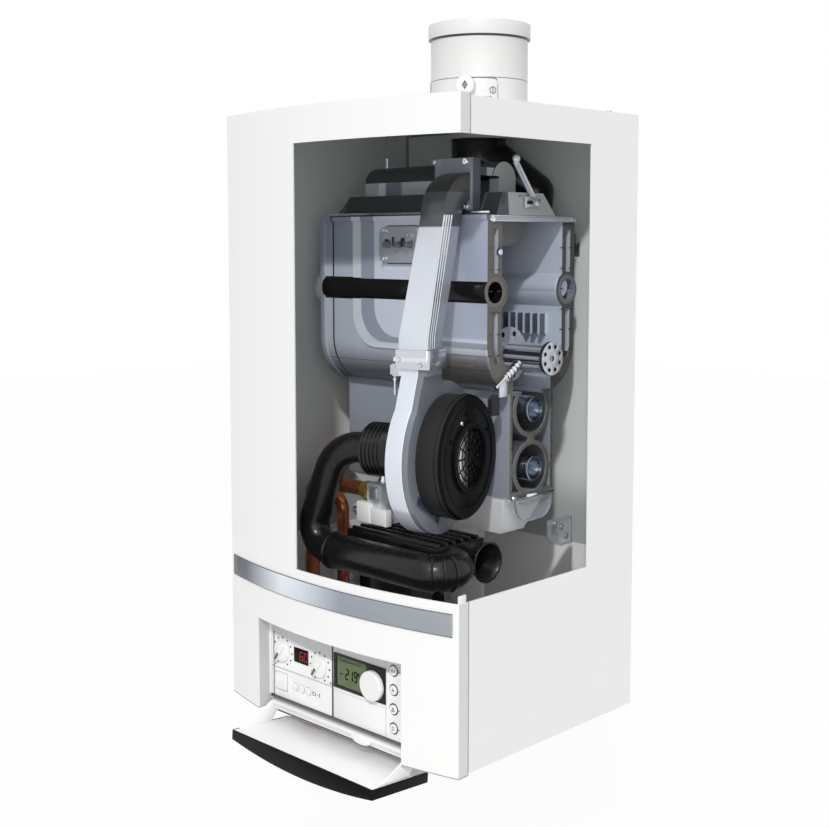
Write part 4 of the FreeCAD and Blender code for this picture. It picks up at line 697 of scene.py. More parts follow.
casePanels = ("front_cover", "left_side_panel", "right_side_panel", "top_panel", "bottom_panel",
              "rear_panel")
for name in casePanels:
    coatNode(name, caseWhite, 0)

trimEdge = (66, 74, 86)
trimValues = {
    "rough": 0.24, "metallic": 0.35, "scale": 900.0, "spread": 0.10, "stretch": (0.02, 1, 1), "bump": 0.03,
    # the ramp across the chrome strip, bright in the middle and dark at the ends, is a painted reflection
    "ramp": ("x", -0.212, 0.212, [(0.0, (62, 68, 76)), (1.0, (158, 164, 170)), (0.10, (92, 100, 110)),
                                  (0.32, (232, 238, 244)), (0.42, (216, 224, 232)),
                                  (0.60, (150, 158, 167)), (0.80, (172, 178, 184))]),
    "layers": [tone(trimEdge, ("z", 0.1700, 0.1751, 0.0002)),
               tone(trimEdge, ("z", 0.2020, 0.2100, 0.0002))],
}
coatNode("trim_strip", makeFinish("trimChrome", trimValues), 0.0003)

zincValues = {"color": (170, 173, 176), "rough": 0.38, "metallic": 0.85, "scale": 130.0, "spread": 0.22,
              "roughSpread": 0.25, "bump": 0.06}
zincFinish = makeFinish("zincSteel", zincValues)
coatNode("wall_bracket", zincFinish)
coatNode("casing_screws", zincFinish, 0.0002)
rubberValues = {"color": (28, 28, 29), "rough": 0.8, "scale": 500.0, "spread": 0.2, "bump": 0.2}
rubberFinish = makeFinish("blackRubber", rubberValues)
coatNode("wall_spacer", rubberFinish)
print("case finished")

# flue adapter in white plastic with dark joints, grey inner pipe
flueCenter = (0.0, -0.0795, 0.0)
flueValues = {
    "color": (228, 228, 227), "rough": 0.32, "scale": 420.0, "spread": 0.02, "bump": 0.04,
    "layers": [tone((70, 72, 75), ("z", 0.9256, 0.9283, 0.0003)),
               tone((128, 131, 133), ("z", 0.8690, 0.8702, 0.0003)),
               tone((206, 208, 209), ("aroundZ", 0.0, 0.0635, 0.0002, flueCenter))],
}
coatNode("flue_adapter", makeFinish("flueWhite", flueValues), 0.0006)
flueCapValues = {"color": (236, 237, 237), "rough": 0.35, "scale": 420.0, "spread": 0.03, "bump": 0.05}
coatNode("flue_test_caps", makeFinish("flueCapWhite", flueCapValues), 0.0008)
fluePipeValues = {"color": (168, 171, 173), "rough": 0.42, "scale": 300.0, "spread": 0.05, "bump": 0.06}
coatNode("flue_inner_pipe", makeFinish("flueGrey", fluePipeValues), 0.0004)
flueDuctValues = {"color": (14, 14, 15), "rough": 0.24, "scale": 260.0, "spread": 0.2, "specular": 0.3,
                  "bump": 0.04}
coatNode("flue_duct", makeFinish("ductBlack", flueDuctValues), 0.0006)
print("flue finished")

# control panel plastics: grooves, the joint between the fascias and the shade below the recess edge
panelValues = {"color": (243, 243, 243), "rough": 0.42, "scale": 900.0, "spread": 0.02, "bump": 0.10}
panelWhite = makeFinish("panelWhite", panelValues)
grooveTone, jointTone, edgeShade = (150, 153, 156), (62, 64, 67), (206, 207, 209)
leftPanelValues = dict(panelValues, layers=[
    tone(grooveTone, ("z", 0.0562, 0.0570, 0.0001)),
    tone((212, 213, 214), ("z", 0.0548, 0.0562, 0.0003)),
    tone(edgeShade, ("along", 0.0, 0.1, 0.0016, (-0.134, 0, 0.104), (0.104, 0, 0.995))),
    tone(jointTone, ("x", -0.0135, -0.01, 0.0002))])
coatNode("left_fascia", makeFinish("leftPanelWhite", leftPanelValues), 0.0004)
rightPanelValues = dict(panelValues, layers=[
    tone(edgeShade, ("along", 0.0, 0.1, 0.0016, (-0.011, 0, 0.092), (-0.09, 0, 0.996))),
    tone(jointTone, ("x", -0.014, -0.0103, 0.0002)),
    tone(grooveTone, ("x", 0.0893, 0.0901, 0.0001)),
    tone((186, 188, 190), ("z", 0.0530, 0.0536, 0.0001), ("x", -0.012, 0.0897, 0.0001))])
coatNode("right_fascia", makeFinish("rightPanelWhite", rightPanelValues), 0.0004)
ledgeShade = tone((84, 86, 88), ("y", -0.37, -0.3445, 0.0006), ("z", 0.0105, 0.03, 0.0034))
coatNode("control_box", makeFinish("boxWhite", dict(panelValues, layers=[recessWallShade, ledgeShade])), 0.0005)
keyValues = {"color": (240, 240, 239), "rough": 0.34, "scale": 900.0, "spread": 0.02, "bump": 0.06}
keyWhite = makeFinish("keyWhite", keyValues)
for name in ("left_knob", "right_knob", "dial", "mains_switch", "small_key_1", "small_key_2", "small_key_3",
             "round_button_1", "round_button_2", "round_button_3", "round_button_4"):
    coatNode(name, keyWhite, 0.0006)
bezelValues = {"color": (20, 21, 23), "rough": 0.2, "scale": 700.0, "spread": 0.15, "specular": 0.25,
               "bump": 0.03}
coatNode("display_bezel", makeFinish("bezelDark", bezelValues), 0.0003)
ledValues = {"color": (10, 4, 4), "rough": 0.2, "scale": 500.0, "spread": 0.2, "specular": 0.1,
             "bump": 0.01}
coatNode("led_window", makeFinish("ledGlass", ledValues), 0.0003)
lcdValues = {"color": (94, 112, 76), "rough": 0.22, "scale": 2600.0, "spread": 0.10, "specular": 0.2,
             "bump": 0.02}
coatNode("lcd_window", makeFinish("lcdGlass", lcdValues), 0.0002)
boardValues = {"color": (26, 84, 50), "rough": 0.45, "scale": 800.0, "spread": 0.3, "coat": 0.3,
               "bump": 0.1}
coatNode("control_board", makeFinish("boardGreen", boardValues), 0)

flapValues = {"color": (12, 12, 13), "rough": 0.34, "scale": 500.0, "spread": 0.2, "specular": 0.1,
              "bump": 0.06}
coatNode("flap_cover", makeFinish("flapBlack", flapValues), 0.0012)
trayValues = {"color": (247, 247, 247), "rough": 0.4, "scale": 800.0, "spread": 0.02, "bump": 0.05}
flapWhite = makeFinish("flapWhite", trayValues)
coatNode("flap_tray", flapWhite, 0.0006)
coatNode("flap_arms", flapWhite, 0.0008)
pinValues = {"color": (196, 199, 203), "rough": 0.25, "metallic": 1.0, "scale": 500.0, "spread": 0.1,
             "stretch": (0.1, 1, 1), "bump": 0.03}
steelFinish = makeFinish("brightSteel", pinValues)
coatNode("hinge_pins", steelFinish, 0.0002)
print("controls finished")

# heat exchanger: pale blue-grey aluminium, warm grey where it is cut through
drumValues = {
    "color": (192, 200, 215), "rough": 0.34, "metallic": 0.12, "scale": 60.0, "spread": 0.08,
    "roughSpread": 0.14, "bump": 0.04, "coat": 0.2, "coatRough": 0.1,
}
cutFace = ("x", 0.15665, 0.2, 0.0001)
cutLayer = tone((90, 88, 84), cutFace, rough=0.6, metallic=0.0)
drumFace = ("y", -0.30, -0.2335, 0.0002)
drumFront, drumLow = ("y", -0.30, -0.12, 0.001), ("y", -0.30, -0.15, 0.001)
leftStrip = ("x", -0.16, -0.0952, 0.0004)
# the stepped front of the drum: middle x, z, half sizes and corner radius of each outline; the bright band
# and the dark band along the steps are painted highlight and painted shade, and the plate inside them is
# painted lighter
stepHighlight = (0.0775, 0.65, 0.1725, 0.15, 0.048)
stepShade = (0.0865, 0.65425, 0.1635, 0.14575, 0.045)
stepInner = (0.09975, 0.658, 0.15025, 0.142, 0.042)
coverRim = (0.004, 0.6415, 0.0415, 0.026, 0.0165)
paintedShadeTone = (158, 166, 182)
frontLayers = [
    # painted shadow of the case's top over the upper part of the left strip
    tone(paintedShadeTone, drumFront, leftStrip, ("z", 0.6125, 0.70, 0.004)),
    tone((190, 197, 208), drumFront, leftStrip, ("z", 0.46, 0.575, 0.004)),
    tone((222, 226, 234), drumFace, ("frame", -1.0, 0.0, 0.0006, stepHighlight)),
    tone(paintedShadeTone, drumFace, ("frame", -1.0, 0.0, 0.0010, stepShade)),
    tone((218, 224, 237), drumFace, ("frame", -1.0, 0.0, 0.0012, stepInner)),
    tone((172, 180, 198), drumFace, ("x", 0.068, 0.158, 0.0006), ("z", 0.52, 0.70, 0.004)),
    tone((70, 72, 76), drumFace, ("frame", -0.002, 0.0, 0.0003, coverRim)),
    tone((112, 115, 121), drumFront, ("z", 0.40, 0.478, 0.026), ("x", -0.16, 0.06, 0.004)),
    tone((30, 31, 34), ("y", -0.30, -0.20, 0.001), ("x", -0.1380, -0.1350, 0.0003)),
    tone((104, 104, 103), drumLow, ("z", 0.44, 0.502, 0.022), ("x", 0.055, 0.156, 0.006), rough=0.12),
    tone((168, 128, 62), drumLow, ("z", 0.4845, 0.4858, 0.0002), ("x", 0.075, 0.128, 0.0002), rough=0.2),
]
jacketLayers = [tone((66, 69, 76), ("y", front, rear, 0.0001), ("x", -0.2, 0.1562, 0.0001),
                     ("z", 0.48, 0.672, 0.0004))
                for front, rear in ((-0.2289, -0.2187), (-0.0839, -0.0705))]
finLayer = tone((84, 89, 100), ("facing", 0.7, 2.0, 0.05, toRight), ("z", 0.5195, 0.5485, 0.0003),
                ("y", -0.1070, -0.0900, 0.0004), ("x", 0.03, 0.15, 0.0005))
drumLayers = frontLayers + jacketLayers + [finLayer, cutLayer]
coatNode("exchanger_drum", makeFinish("drumAluminium", dict(drumValues, layers=drumLayers)), 0)
# painted shade inside the neck's hollow
neckHollowShade = tone((78, 81, 87), ("x", 0.05, 0.1560, 0.0002), ("y", -0.186, -0.109, 0.0004),
                  ("z", 0.316, 0.444, 0.0004))
neckValues = dict(drumValues, color=(158, 164, 177), layers=[neckHollowShade, cutLayer])
coatNode("exchanger_neck", makeFinish("neckAluminium", neckValues), 0.0003)
bundleMiddle = tuple(sum(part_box("displacer_bundle"), Vector()) / 2)
# painted shade in the holes through the two discs, and the darker core between them
bundleLayers = [tone((58, 61, 67), ("facing", -0.6, 0.6, 0.1, toRight), ("x", left, left + 0.0056, 0.0001))
                for left in (0.1107, 0.1857)]
bundleLayers.append(tone((80, 84, 93), ("aroundX", 0.0, 0.0125, 0.0005, bundleMiddle),
                         ("x", 0.05, 0.1855, 0.0002)))
bundleValues = dict(drumValues, color=(188, 193, 201), metallic=0.4, rough=0.26, layers=bundleLayers)
coatNode("displacer_bundle", makeFinish("bundleAluminium", bundleValues), 0.0003)
sumpLines = [tone((96, 100, 106), ("z", low, low + thick, 0.0005), ("x", -0.16, right, 0.004),
                  ("y", -0.30, -0.185, 0.001))
             for low, thick, right in ((0.2725, 0.0016, 0.118), (0.2845, 0.0012, 0.130))]
sumpValues = dict(bundleValues, color=(247, 248, 250), metallic=0.0, layers=sumpLines)
coatNode("condensate_sump", makeFinish("sumpAluminium", sumpValues), 0.0006)
headerValues = {
    "color": (20, 19, 18), "rough": 0.22, "scale": 70.0, "spread": 0.3, "specular": 0.25, "bump": 0.02,
    "layers": [tone((112, 108, 103), cutFace, rough=0.6),
               tone((178, 184, 194), ("x", -0.2, -0.1535, 0.0002), rough=0.3),
               tone((120, 126, 136), ("y", -0.14, 0.0, 0.001), rough=0.3)],
}
coatNode("header_tubes", makeFinish("headerBlack", headerValues), 0.0004)
portValues = {"color": (196, 202, 210), "rough": 0.16, "metallic": 1.0, "scale": 200.0, "spread": 0.1,
              "bump": 0.02, "layers": [tone((150, 156, 164), ("x", 0.1566, 0.2, 0.0001))]}
coatNode("port_tubes", makeFinish("portSteel", portValues), 0.0004)
hoodRim, hoodSkirt = ("z", 0.7092, 0.7282, 0.0003), ("z", 0.6795, 0.7092, 0.0003)
hoodEnd = ("facing", 0.6, 2.0, 0.05, toRight)
hoodValues = {
    "color": (66, 68, 71), "rough": 0.34, "scale": 50.0, "spread": 0.04, "roughSpread": 0.03, "bump": 0.02,
    "specular": 0.22,
    "layers": [tone((186, 192, 202), hoodRim, rough=0.24),
               # a short brighter stretch of the rim on the left is a painted highlight, with a darker
               # stretch beside it
               tone((222, 226, 232), hoodRim, ("x", -0.098, -0.084, 0.0004)),
               tone((128, 134, 148), hoodRim, ("x", -0.084, -0.052, 0.003)),
               tone((186, 188, 190), hoodEnd, rough=0.3),
               tone((92, 96, 104), hoodEnd, ("y", -0.25, -0.1935, 0.0006)),
               tone((96, 98, 100), hoodSkirt, ("x", -0.2, -0.1355, 0.0004)),
               tone((150, 152, 155), hoodSkirt, ("x", 0.1245, 0.1258, 0.0002)),
               tone((74, 75, 80), hoodSkirt, ("x", 0.1258, 0.1530, 0.0003), ("y", -0.23, -0.2, 0.001))],
}
coatNode("burner_hood", makeFinish("hoodGraphite", hoodValues), 0)
burnerValues = {"color": (150, 150, 148), "rough": 0.5, "metallic": 0.8, "scale": 900.0, "spread": 0.3,
                "bump": 0.3}
coatNode("burner", makeFinish("burnerMesh", burnerValues), 0.0003)
coverValues = {"color": (208, 213, 222), "rough": 0.3, "metallic": 0.6, "scale": 120.0, "spread": 0.08,
               "bump": 0.04}
coverFinish = makeFinish("coverAluminium", coverValues)
coatNode("inspection_cover", coverFinish, 0.0006)
ceramicValues = {"color": (126, 128, 132), "rough": 0.3, "metallic": 0.4, "scale": 400.0, "spread": 0.06,
                 "bump": 0.03}
coatNode("electrodes", makeFinish("electrodeCeramic", ceramicValues), 0.0002)
print("exchanger finished")

# the fan's own axes: along its shaft, and level across it
fanTurn = math.radians(15)
fanMiddle = (156.1, 88.0, 374.6)
fanPlace = at(*fanMiddle)
fanAlong = Vector((math.cos(fanTurn), math.sin(fanTurn), 0))
fanSide = Vector((-math.sin(fanTurn), math.cos(fanTurn), 0))

# mixing duct, fan and air side
ductFoot = ("z", 0.3, 0.664, 0.0015)
ductValues = {
    "color": (208, 213, 222), "rough": 0.28, "metallic": 0.25, "scale": 40.0, "spread": 0.03,
    "roughSpread": 0.04, "bump": 0.01, "coat": 0.15,
    "layers": [tone((74, 76, 81), ("z", 0.664, 0.9, 0.0015), rough=0.3, metallic=0.0),
               tone((30, 31, 33), ("z", 0.7085, 0.9, 0.0004)),
               tone((138, 144, 158), ("y", -0.2305, -0.22, 0.0002), metallic=0.1),
               tone((146, 153, 165), ("facing", 0.55, 2.0, 0.1, toRight), ductFoot)],
}
coatNode("mixing_duct", makeFinish("ductAluminium", ductValues), 0.0008)
clampValues = {"color": (206, 210, 217), "rough": 0.16, "metallic": 0.95, "scale": 200.0, "spread": 0.08,
               "bump": 0.02}
coatNode("duct_clamp", makeFinish("clampSteel", clampValues), 0.0006)
scrollShadeTone = (112, 117, 127)
scrollValues = {
    "color": (216, 222, 231), "rough": 0.22, "metallic": 0.35, "scale": 60.0, "spread": 0.08, "bump": 0.03,
    "coat": 0.25,
    # the face across the shaft and the nearer part of the rim carry a painted shade; the thin bright line
    # at the rim's edge is a painted highlight
    "layers": [tone(scrollShadeTone, ("facing", 0.8, 2.0, 0.05, fanAlong), rough=0.4, metallic=0.0),
               tone(scrollShadeTone, ("along", -0.0425, 0.02, 0.0002, fanPlace, fanAlong), metallic=0.0),
               tone((236, 240, 246), ("along", -0.0435, -0.0422, 0.0002, fanPlace, fanAlong))],
}
coatNode("fan_scroll", makeFinish("scrollAluminium", scrollValues), 0.0012)
motorValues = {"color": (9, 9, 10), "rough": 0.32, "scale": 500.0, "spread": 0.2, "specular": 0.07,
               "bump": 0.04,
               # a lighter tone along the side of the barrel is a painted sheen
               "layers": [tone((46, 46, 47), ("facing", -0.5, 0.5, 0.1, fanAlong),
                               ("along", -0.05, -0.003, 0.0004, fanPlace, fanAlong))]}
motorBlack = makeFinish("motorBlack", motorValues)
coatNode("fan_motor", motorBlack, 0.0008)
coatNode("fan_impeller", makeFinish("impellerAluminium", dict(clampValues, rough=0.35)), 0.0003)
intakeValues = {"color": (20, 20, 21), "rough": 0.27, "scale": 90.0, "spread": 0.2, "specular": 0.32,
                "bump": 0.03}
intakeBlack = makeFinish("intakeBlack", intakeValues)
coatNode("intake_pipe", intakeBlack, 0.0008)
coatNode("silencer", intakeBlack, 0.0012)
print("air side finished")

# gas and water side
valveValues = {"color": (206, 209, 213), "rough": 0.35, "metallic": 0.15, "scale": 160.0, "spread": 0.06,
               "bump": 0.08}
coatNode("gas_valve", makeFinish("valveAluminium", valveValues), 0.0012)
brassValues = {"color": (214, 172, 84), "rough": 0.26, "metallic": 0.7, "scale": 260.0, "spread": 0.14,
               "bump": 0.03}
coatNode("gas_union", makeFinish("unionBrass", brassValues), 0.0006)
copperValues = {"color": (190, 116, 78), "rough": 0.28, "metallic": 0.75, "scale": 70.0, "spread": 0.25,
                "roughSpread": 0.2, "bump": 0.03}
copperFinish = makeFinish("pipeCopper", copperValues)
for name in ("gas_pipe", "flow_pipe", "return_pipe"):
    coatNode(name, copperFinish, 0.0004)
pumpValues = {"color": (70, 74, 78), "rough": 0.5, "metallic": 0.3, "scale": 220.0, "spread": 0.25,
              "bump": 0.3}
coatNode("circulation_pump", makeFinish("pumpIron", pumpValues), 0.001)
siphonValues = {"color": (226, 227, 226), "rough": 0.4, "scale": 400.0, "spread": 0.05, "bump": 0.05}
coatNode("siphon", makeFinish("siphonWhite", siphonValues), 0.0008)
print("water side finished")


# control panel: scales, pointers, digits and key outlines
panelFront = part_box("left_fascia")[0].y
inkBase = {"rough": 0.5, "scale": 900.0, "spread": 0.1, "bump": 0.02}
inkFinish = makeFinish("panelInk", dict(inkBase, color=(26, 27, 30), rough=0.6, specular=0.2, spread=0.2))
# grey for the painted shadow lines round the keys and the mains switch
keyShadowLine = makeFinish("panelKeyShadow", dict(inkBase, color=(128, 131, 135)))
blueInk = makeFinish("panelBlueInk", dict(inkBase, color=(46, 48, 74)))
gripShade = makeFinish("gripShade", dict(inkBase, color=(80, 82, 85)))


def middleOf(name):
    low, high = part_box(name)
    return (low + high) / 2


knobValues = {
    "dotCount": 11, "dotRing": 0.0193, "dotStep": 30.0, "dotSides": 14, "armSlot": -0.133,
    "dotSteps": [(0.00135, -0.0001), (0.00135, 0.00021), (0.00108, 0.0003)],
    "indexLow": (-0.0020, -0.0002, 0.0014), "indexHigh": (0.0020, 0.0004, 0.0132),
    "indexTip": (0, (0, 0, 0.0006), (0.6, 1, 1)), "indexSoft": 0.0001, "pointAngle": 215.0,
}


def knobScale(side, v):
    # dots round the knob, none where the flap's arm swings through its slot
    name = side + "_knob"
    middle = middleOf(name)
    first = -v["dotStep"] * (v["dotCount"] - 1) / 2
    spots = []
    for number in range(v["dotCount"]):
        angle = math.radians(first + v["dotStep"] * number)
        spot = (middle.x + v["dotRing"] * math.sin(angle), panelFront,
                middle.z + v["dotRing"] * math.cos(angle))
        if spot[0] > v["armSlot"]:
            spots.append(spot)
    master = turned("dotMaster", (0, 0, 0), toTop, v["dotSteps"], v["dotSides"])
    dress(spread(side + "KnobDots", master, spots, toFront), inkFinish)
    # grey index line along the pointing half of the grip, tapered to its tip; its grey is also a painted
    # shade on the grip's side
    index = shapedBlock(side + "KnobIndex", v["indexLow"], v["indexHigh"], [(toTop, *v["indexTip"])],
                        v["indexSoft"])
    index.rotation_euler = (0, math.radians(v["pointAngle"]), 0)
    index.location = (middle.x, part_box(name)[0].y, middle.z)
    dress(settle(index), gripShade, name)


for side in ("left", "right"):
    knobScale(side, knobValues)

barValues = {"proud": 0.00012, "sunk": 0.00025, "point": 0.45, "tip": (0.15, 1, 1)}


def printBar(start, end, thick, front):
    # one printed or lit bar: a short block whose two ends are drawn out to blunt points
    start, end = Vector((start[0], 0, start[1])), Vector((end[0], 0, end[1]))
    along = end - start
    half = along.length / 2 - thick / 2
    reach, tip = thick * barValues["point"], barValues["tip"]
    points = [(toTop, 0, (0, 0, reach), tip), (toFloor, 0, (0, 0, -reach), tip)]
    bar = shapedBlock("printBar", (-thick / 2, -barValues["proud"], -half),
                      (thick / 2, barValues["sunk"], half), points, None)
    bar.rotation_euler = (0, math.atan2(along.x, along.z), 0)
    middle = (start + end) / 2
    bar.location = (middle.x, front, middle.z)
    return settle(bar)


def barLoop(corners, thick, front):
    return [printBar(corner, corners[(place + 1) % len(corners)], thick, front)
            for place, corner in enumerate(corners)]


digitBars = {"0": "abcdef", "1": "bc", "2": "abged", "3": "abgcd", "4": "fgbc", "5": "afgcd", "6": "afgedc",
             "7": "abc", "8": "abcdefg", "9": "abcdfg"}
signShares = {"pointBack": 0.4, "pointLow": 0.1, "pointHigh": 1.5, "pointStep": 0.35,
              "degreeLow": 0.66, "degreeWide": 0.42, "degreeThick": 0.7}


def digits(name, v):
    # lean keeps the slant of such displays
    bars = []
    low, height, width, thick, front = v["low"], v["height"], v["width"], v["thick"], v["front"]
    top, mid = low + height, low + height / 2
    ends = {"a": ((0, top), (width, top)), "b": ((width, top), (width, mid)),
            "c": ((width, mid), (width, low)), "d": ((0, low), (width, low)), "e": ((0, low), (0, mid)),
            "f": ((0, mid), (0, top)), "g": ((0, mid), (width, mid))}
    share = signShares
    pen = v["left"]
    for sign in v["text"]:
        if sign == ".":
            x = pen - v["gap"] * share["pointBack"]
            foot, head = low - thick * share["pointLow"], low + thick * share["pointHigh"]
            bars.append(printBar((x, foot), (x, head), thick, front))
            pen += v["gap"] * share["pointStep"]
        elif sign == "o":
            foot, right = low + height * share["degreeLow"], pen + width * share["degreeWide"]
            bars += barLoop([(pen, foot), (right, foot), (right, top), (pen, top)],
                            thick * share["degreeThick"], front)
            pen = right + v["gap"]
        else:
            for key in digitBars[sign]:
                start, end = [(pen + x + v["lean"] * (z - low), z) for x, z in ends[key]]
                bars.append(printBar(start, end, thick, front))
            pen += width + v["gap"]
    return joined(name, bars)


ledLow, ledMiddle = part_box("led_window")[0], middleOf("led_window")
redGlow = makeFinish("redGlow", dict(inkBase, color=(150, 34, 20), bump=0.0, glow=(200, 50, 28),
                                     glowStrength=0.15))
ledDigits = {"text": "60", "left": ledMiddle.x - 0.0030, "low": ledLow.z + 0.0045, "height": 0.0112,
             "width": 0.0060, "gap": 0.0030, "thick": 0.0010, "lean": 0.08, "front": ledLow.y}
dress(digits("ledDigits", ledDigits), redGlow)

lcdLow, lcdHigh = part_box("lcd_window")
lcdInk = makeFinish("lcdInk", dict(inkBase, color=(6, 8, 5), rough=0.8, specular=0.0, bump=0.0))
lcdDigits = {"text": "21.9o", "left": lcdLow.x + 0.0165, "low": lcdLow.z + 0.0112, "height": 0.0134,
             "width": 0.0050, "gap": 0.0026, "thick": 0.0019, "lean": 0.05, "front": lcdLow.y}
dress(digits("lcdDigits", lcdDigits), lcdInk)

# head row with plain dashes, and one short dash at the left of the figures
lcdRow = {"top": 0.0022, "height": 0.0046, "sides": (0.0022, 0.0015), "proud": 0.00006, "sunk": 0.0002,
          "face": (0.0003, (0, -0.00005, 0)), "left": 0.005, "gap": 0.0017, "dashThick": 0.0011,
          "dashes": (0.0030, 0.0085, 0.0045, 0.0070, 0.0030, 0.0060), "dashProud": 0.00012,
          "sideDash": (0.0045, 0.0115, 0.0165), "sideThick": 0.0012}
headShade = makeFinish("lcdHeadShade", {"color": (84, 104, 68), "rough": 0.25, "scale": 2600.0,
                                        "spread": 0.1, "bump": 0.0})


def lcdHeadRow(v):
    top = lcdHigh.z - v["top"]
    row = shapedBlock("lcdHeadBar", (lcdLow.x + v["sides"][0], lcdLow.y - v["proud"], top - v["height"]),
                      (lcdHigh.x - v["sides"][1], lcdLow.y + v["sunk"], top), [(toFront, *v["face"])], None)
    dress(row, headShade)
    dashes, pen = [], lcdLow.x + v["left"]
    middle = top - v["height"] / 2
    for length in v["dashes"]:
        dashes.append(printBar((pen, middle), (pen + length, middle), v["dashThick"],
                               lcdLow.y - v["dashProud"]))
        pen += length + v["gap"]
    left, right, z = v["sideDash"]
    dashes.append(printBar((lcdLow.x + left, lcdLow.z + z), (lcdLow.x + right, lcdLow.z + z),
                           v["sideThick"], lcdLow.y))
    dress(joined("lcdDashes", dashes), lcdInk)


lcdHeadRow(lcdRow)

ringValues = {"sunk": 0.0002, "rise": 0.0004}


def printRing(name, x, z, radius, thick, sides=44):
    # a thin printed ring on the fascia, open in the middle
    place = (x, panelFront + ringValues["sunk"], z)
    return rounded(hoop(name, place, toFront, radius - thick / 2, thick, ringValues["rise"], sides), 0)


# a ring with a dash round each round button, and plain marks on the button faces
buttonValues = {
    "ring": 0.0017, "radius": 0.0078, "dash": (0.0076, 0.0110), "dashThick": 0.0009, "mark": 0.0010,
    "size": 0.0024,
    "strokes": {1: [((-1, -1), (-1, 1)), ((0, -1), (0, 1)), ((1, -1), (1, 1))],
                2: [((-1, 0), (1, 0)), ((0, -1), (0, 1))],
                3: [((-1, -1), (0, 1)), ((0, 1), (1, -1)), ((1, -1), (-1, -1))],
                4: [((-1, -0.6), (1, -0.6)), ((-1, 0.6), (1, 0.6))]},
}


def buttonPrints(v):
    prints = []
    for number in v["strokes"]:
        middle = middleOf("round_button_%d" % number)
        prints.append(printRing("buttonRing", middle.x, middle.z, v["radius"], v["ring"]))
        start, end = [(middle.x + reach, middle.z) for reach in v["dash"]]
        prints.append(printBar(start, end, v["dashThick"], panelFront))
    dress(joined("buttonRings", prints), blueInk)
    for number, lines in v["strokes"].items():
        name = "round_button_%d" % number
        middle, front = middleOf(name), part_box(name)[0].y
        marks = []
        for line in lines:
            start, end = [(middle.x + x * v["size"], middle.z + z * v["size"]) for x, z in line]
            marks.append(printBar(start, end, v["mark"], front))
        dress(joined("roundButtonMark%d" % number, marks), blueInk, name)


buttonPrints(buttonValues)

# shadow lines round the small keys and the mains switch, printed marks beside keys and knobs
keyMarks = {
    "keyRing": 0.0060, "keyLine": 0.0004, "switchGap": 0.0006, "switchLine": 0.0005,
    "start": 0.0030, "size": 0.0022,
    "strokes": [((0, -1), (0, 1), 0.0009), ((0, 1), (2, 1), 0.0009), ((0, -1), (2, -1), 0.0009),
                ((2.6, -1), (2.6, 1), 0.0009), ((4.6, -0.4), (4.6, 0.4), 0.0013),
                ((6.4, -1.2), (6.4, 1.6), 0.0014)],
    "knobRing": (0.0017, 0.0006, 20), "leftSpot": (-0.0152, -0.0205), "rightSpot": (0.0215, -0.0175),
    "rightBars": (0.0029, 0.0042, 0.0055), "barEnds": (-0.0018, 0.0024), "barThick": 0.0007,
}


def keyOutlines(v):
    rings = []
    for number in range(1, 4):
        middle = middleOf("small_key_%d" % number)
        rings.append(printRing("keyRing", middle.x, middle.z, v["keyRing"], v["keyLine"]))
    low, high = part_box("mains_switch")
    left, right = low.x - v["switchGap"], high.x + v["switchGap"]
    foot, top = low.z - v["switchGap"], high.z + v["switchGap"]
    rings += barLoop([(left, foot), (right, foot), (right, top), (left, top)], v["switchLine"], panelFront)
    dress(joined("keyOutlines", rings), keyShadowLine)


def panelMarks(v):
    x, z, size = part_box("small_key_3")[1].x + v["start"], middleOf("small_key_3").z, v["size"]
    marks = []
    for *line, thick in v["strokes"]:
        start, end = [(x + across * size, z + up * size) for across, up in line]
        marks.append(printBar(start, end, thick, panelFront))
    for side in ("left", "right"):
        middle = middleOf(side + "_knob")
        x, z = middle.x + v[side + "Spot"][0], middle.z + v[side + "Spot"][1]
        marks.append(printRing("knobMark", x, z, *v["knobRing"]))
    for reach in v["rightBars"]:
        start, end = [(x + reach, z + rise) for rise in v["barEnds"]]
        marks.append(printBar(start, end, v["barThick"], panelFront))
    dress(joined("panelMarks", marks), inkFinish)


keyOutlines(keyMarks)
panelMarks(keyMarks)

# dark strip for the painted shade in the gap between the fascia and the ledge below it
shadeBase = {"rough": 0.7, "scale": 700.0, "spread": 0.1, "bump": 0.02}
seamValues = {"drop": 0.0026, "front": 0.0002, "rear": 0.0024, "lap": 0.0001, "soft": 0.0001,
              "face": (0.0003, (0, -0.0003, 0))}


def ledgeSeam(v):
    low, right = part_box("left_fascia")[0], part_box("right_fascia")[1].x
    seam = shapedBlock("ledgeSeam", (low.x, low.y + v["front"], low.z - v["drop"]),
                       (right, low.y + v["rear"], low.z + v["lap"]), [(toFront, *v["face"])], v["soft"])
    dress(seam, makeFinish("seamShade", dict(shadeBase, color=(58, 60, 63))))


ledgeSeam(seamValues)
print("panel prints made")

# exchanger and hood: beads, screws, marks on the cut faces, clip and plug
chromeValues = {"color": (226, 229, 233), "rough": 0.12, "metallic": 1.0, "scale": 300.0, "spread": 0.06,
                "bump": 0.02}
chromeFinish = makeFinish("brightChrome", chromeValues)
# one dark finish for the marks on the cut faces and for the painted shade in openings and holes
markAndHoleShade = makeFinish("cutMarksAndHoleShade", {"color": (44, 42, 40), "rough": 0.7, "scale": 600.0, "spread": 0.2,
                                     "bump": 0.05})

topBead = {"low": (-147.0, 123.5, 681.2), "high": (153.0, 129.0, 685.0), "soft": 0.0012}
dress(placedBlock("drumTopBead", topBead), chromeFinish)
topSeal = {"low": (-147.0, 121.0, 674.8), "high": (152.0, 124.5, 680.8), "soft": 0.0009}
dress(placedBlock("drumTopSeal", topSeal), rubberFinish)


def screwSet(name, v):
    # size: radius and height of the heads
    spots = [at(*spot) for spot in v["spots"]]
    dress(spread(name, screwMaster(*v["size"]), spots, v["facing"]), chromeFinish)


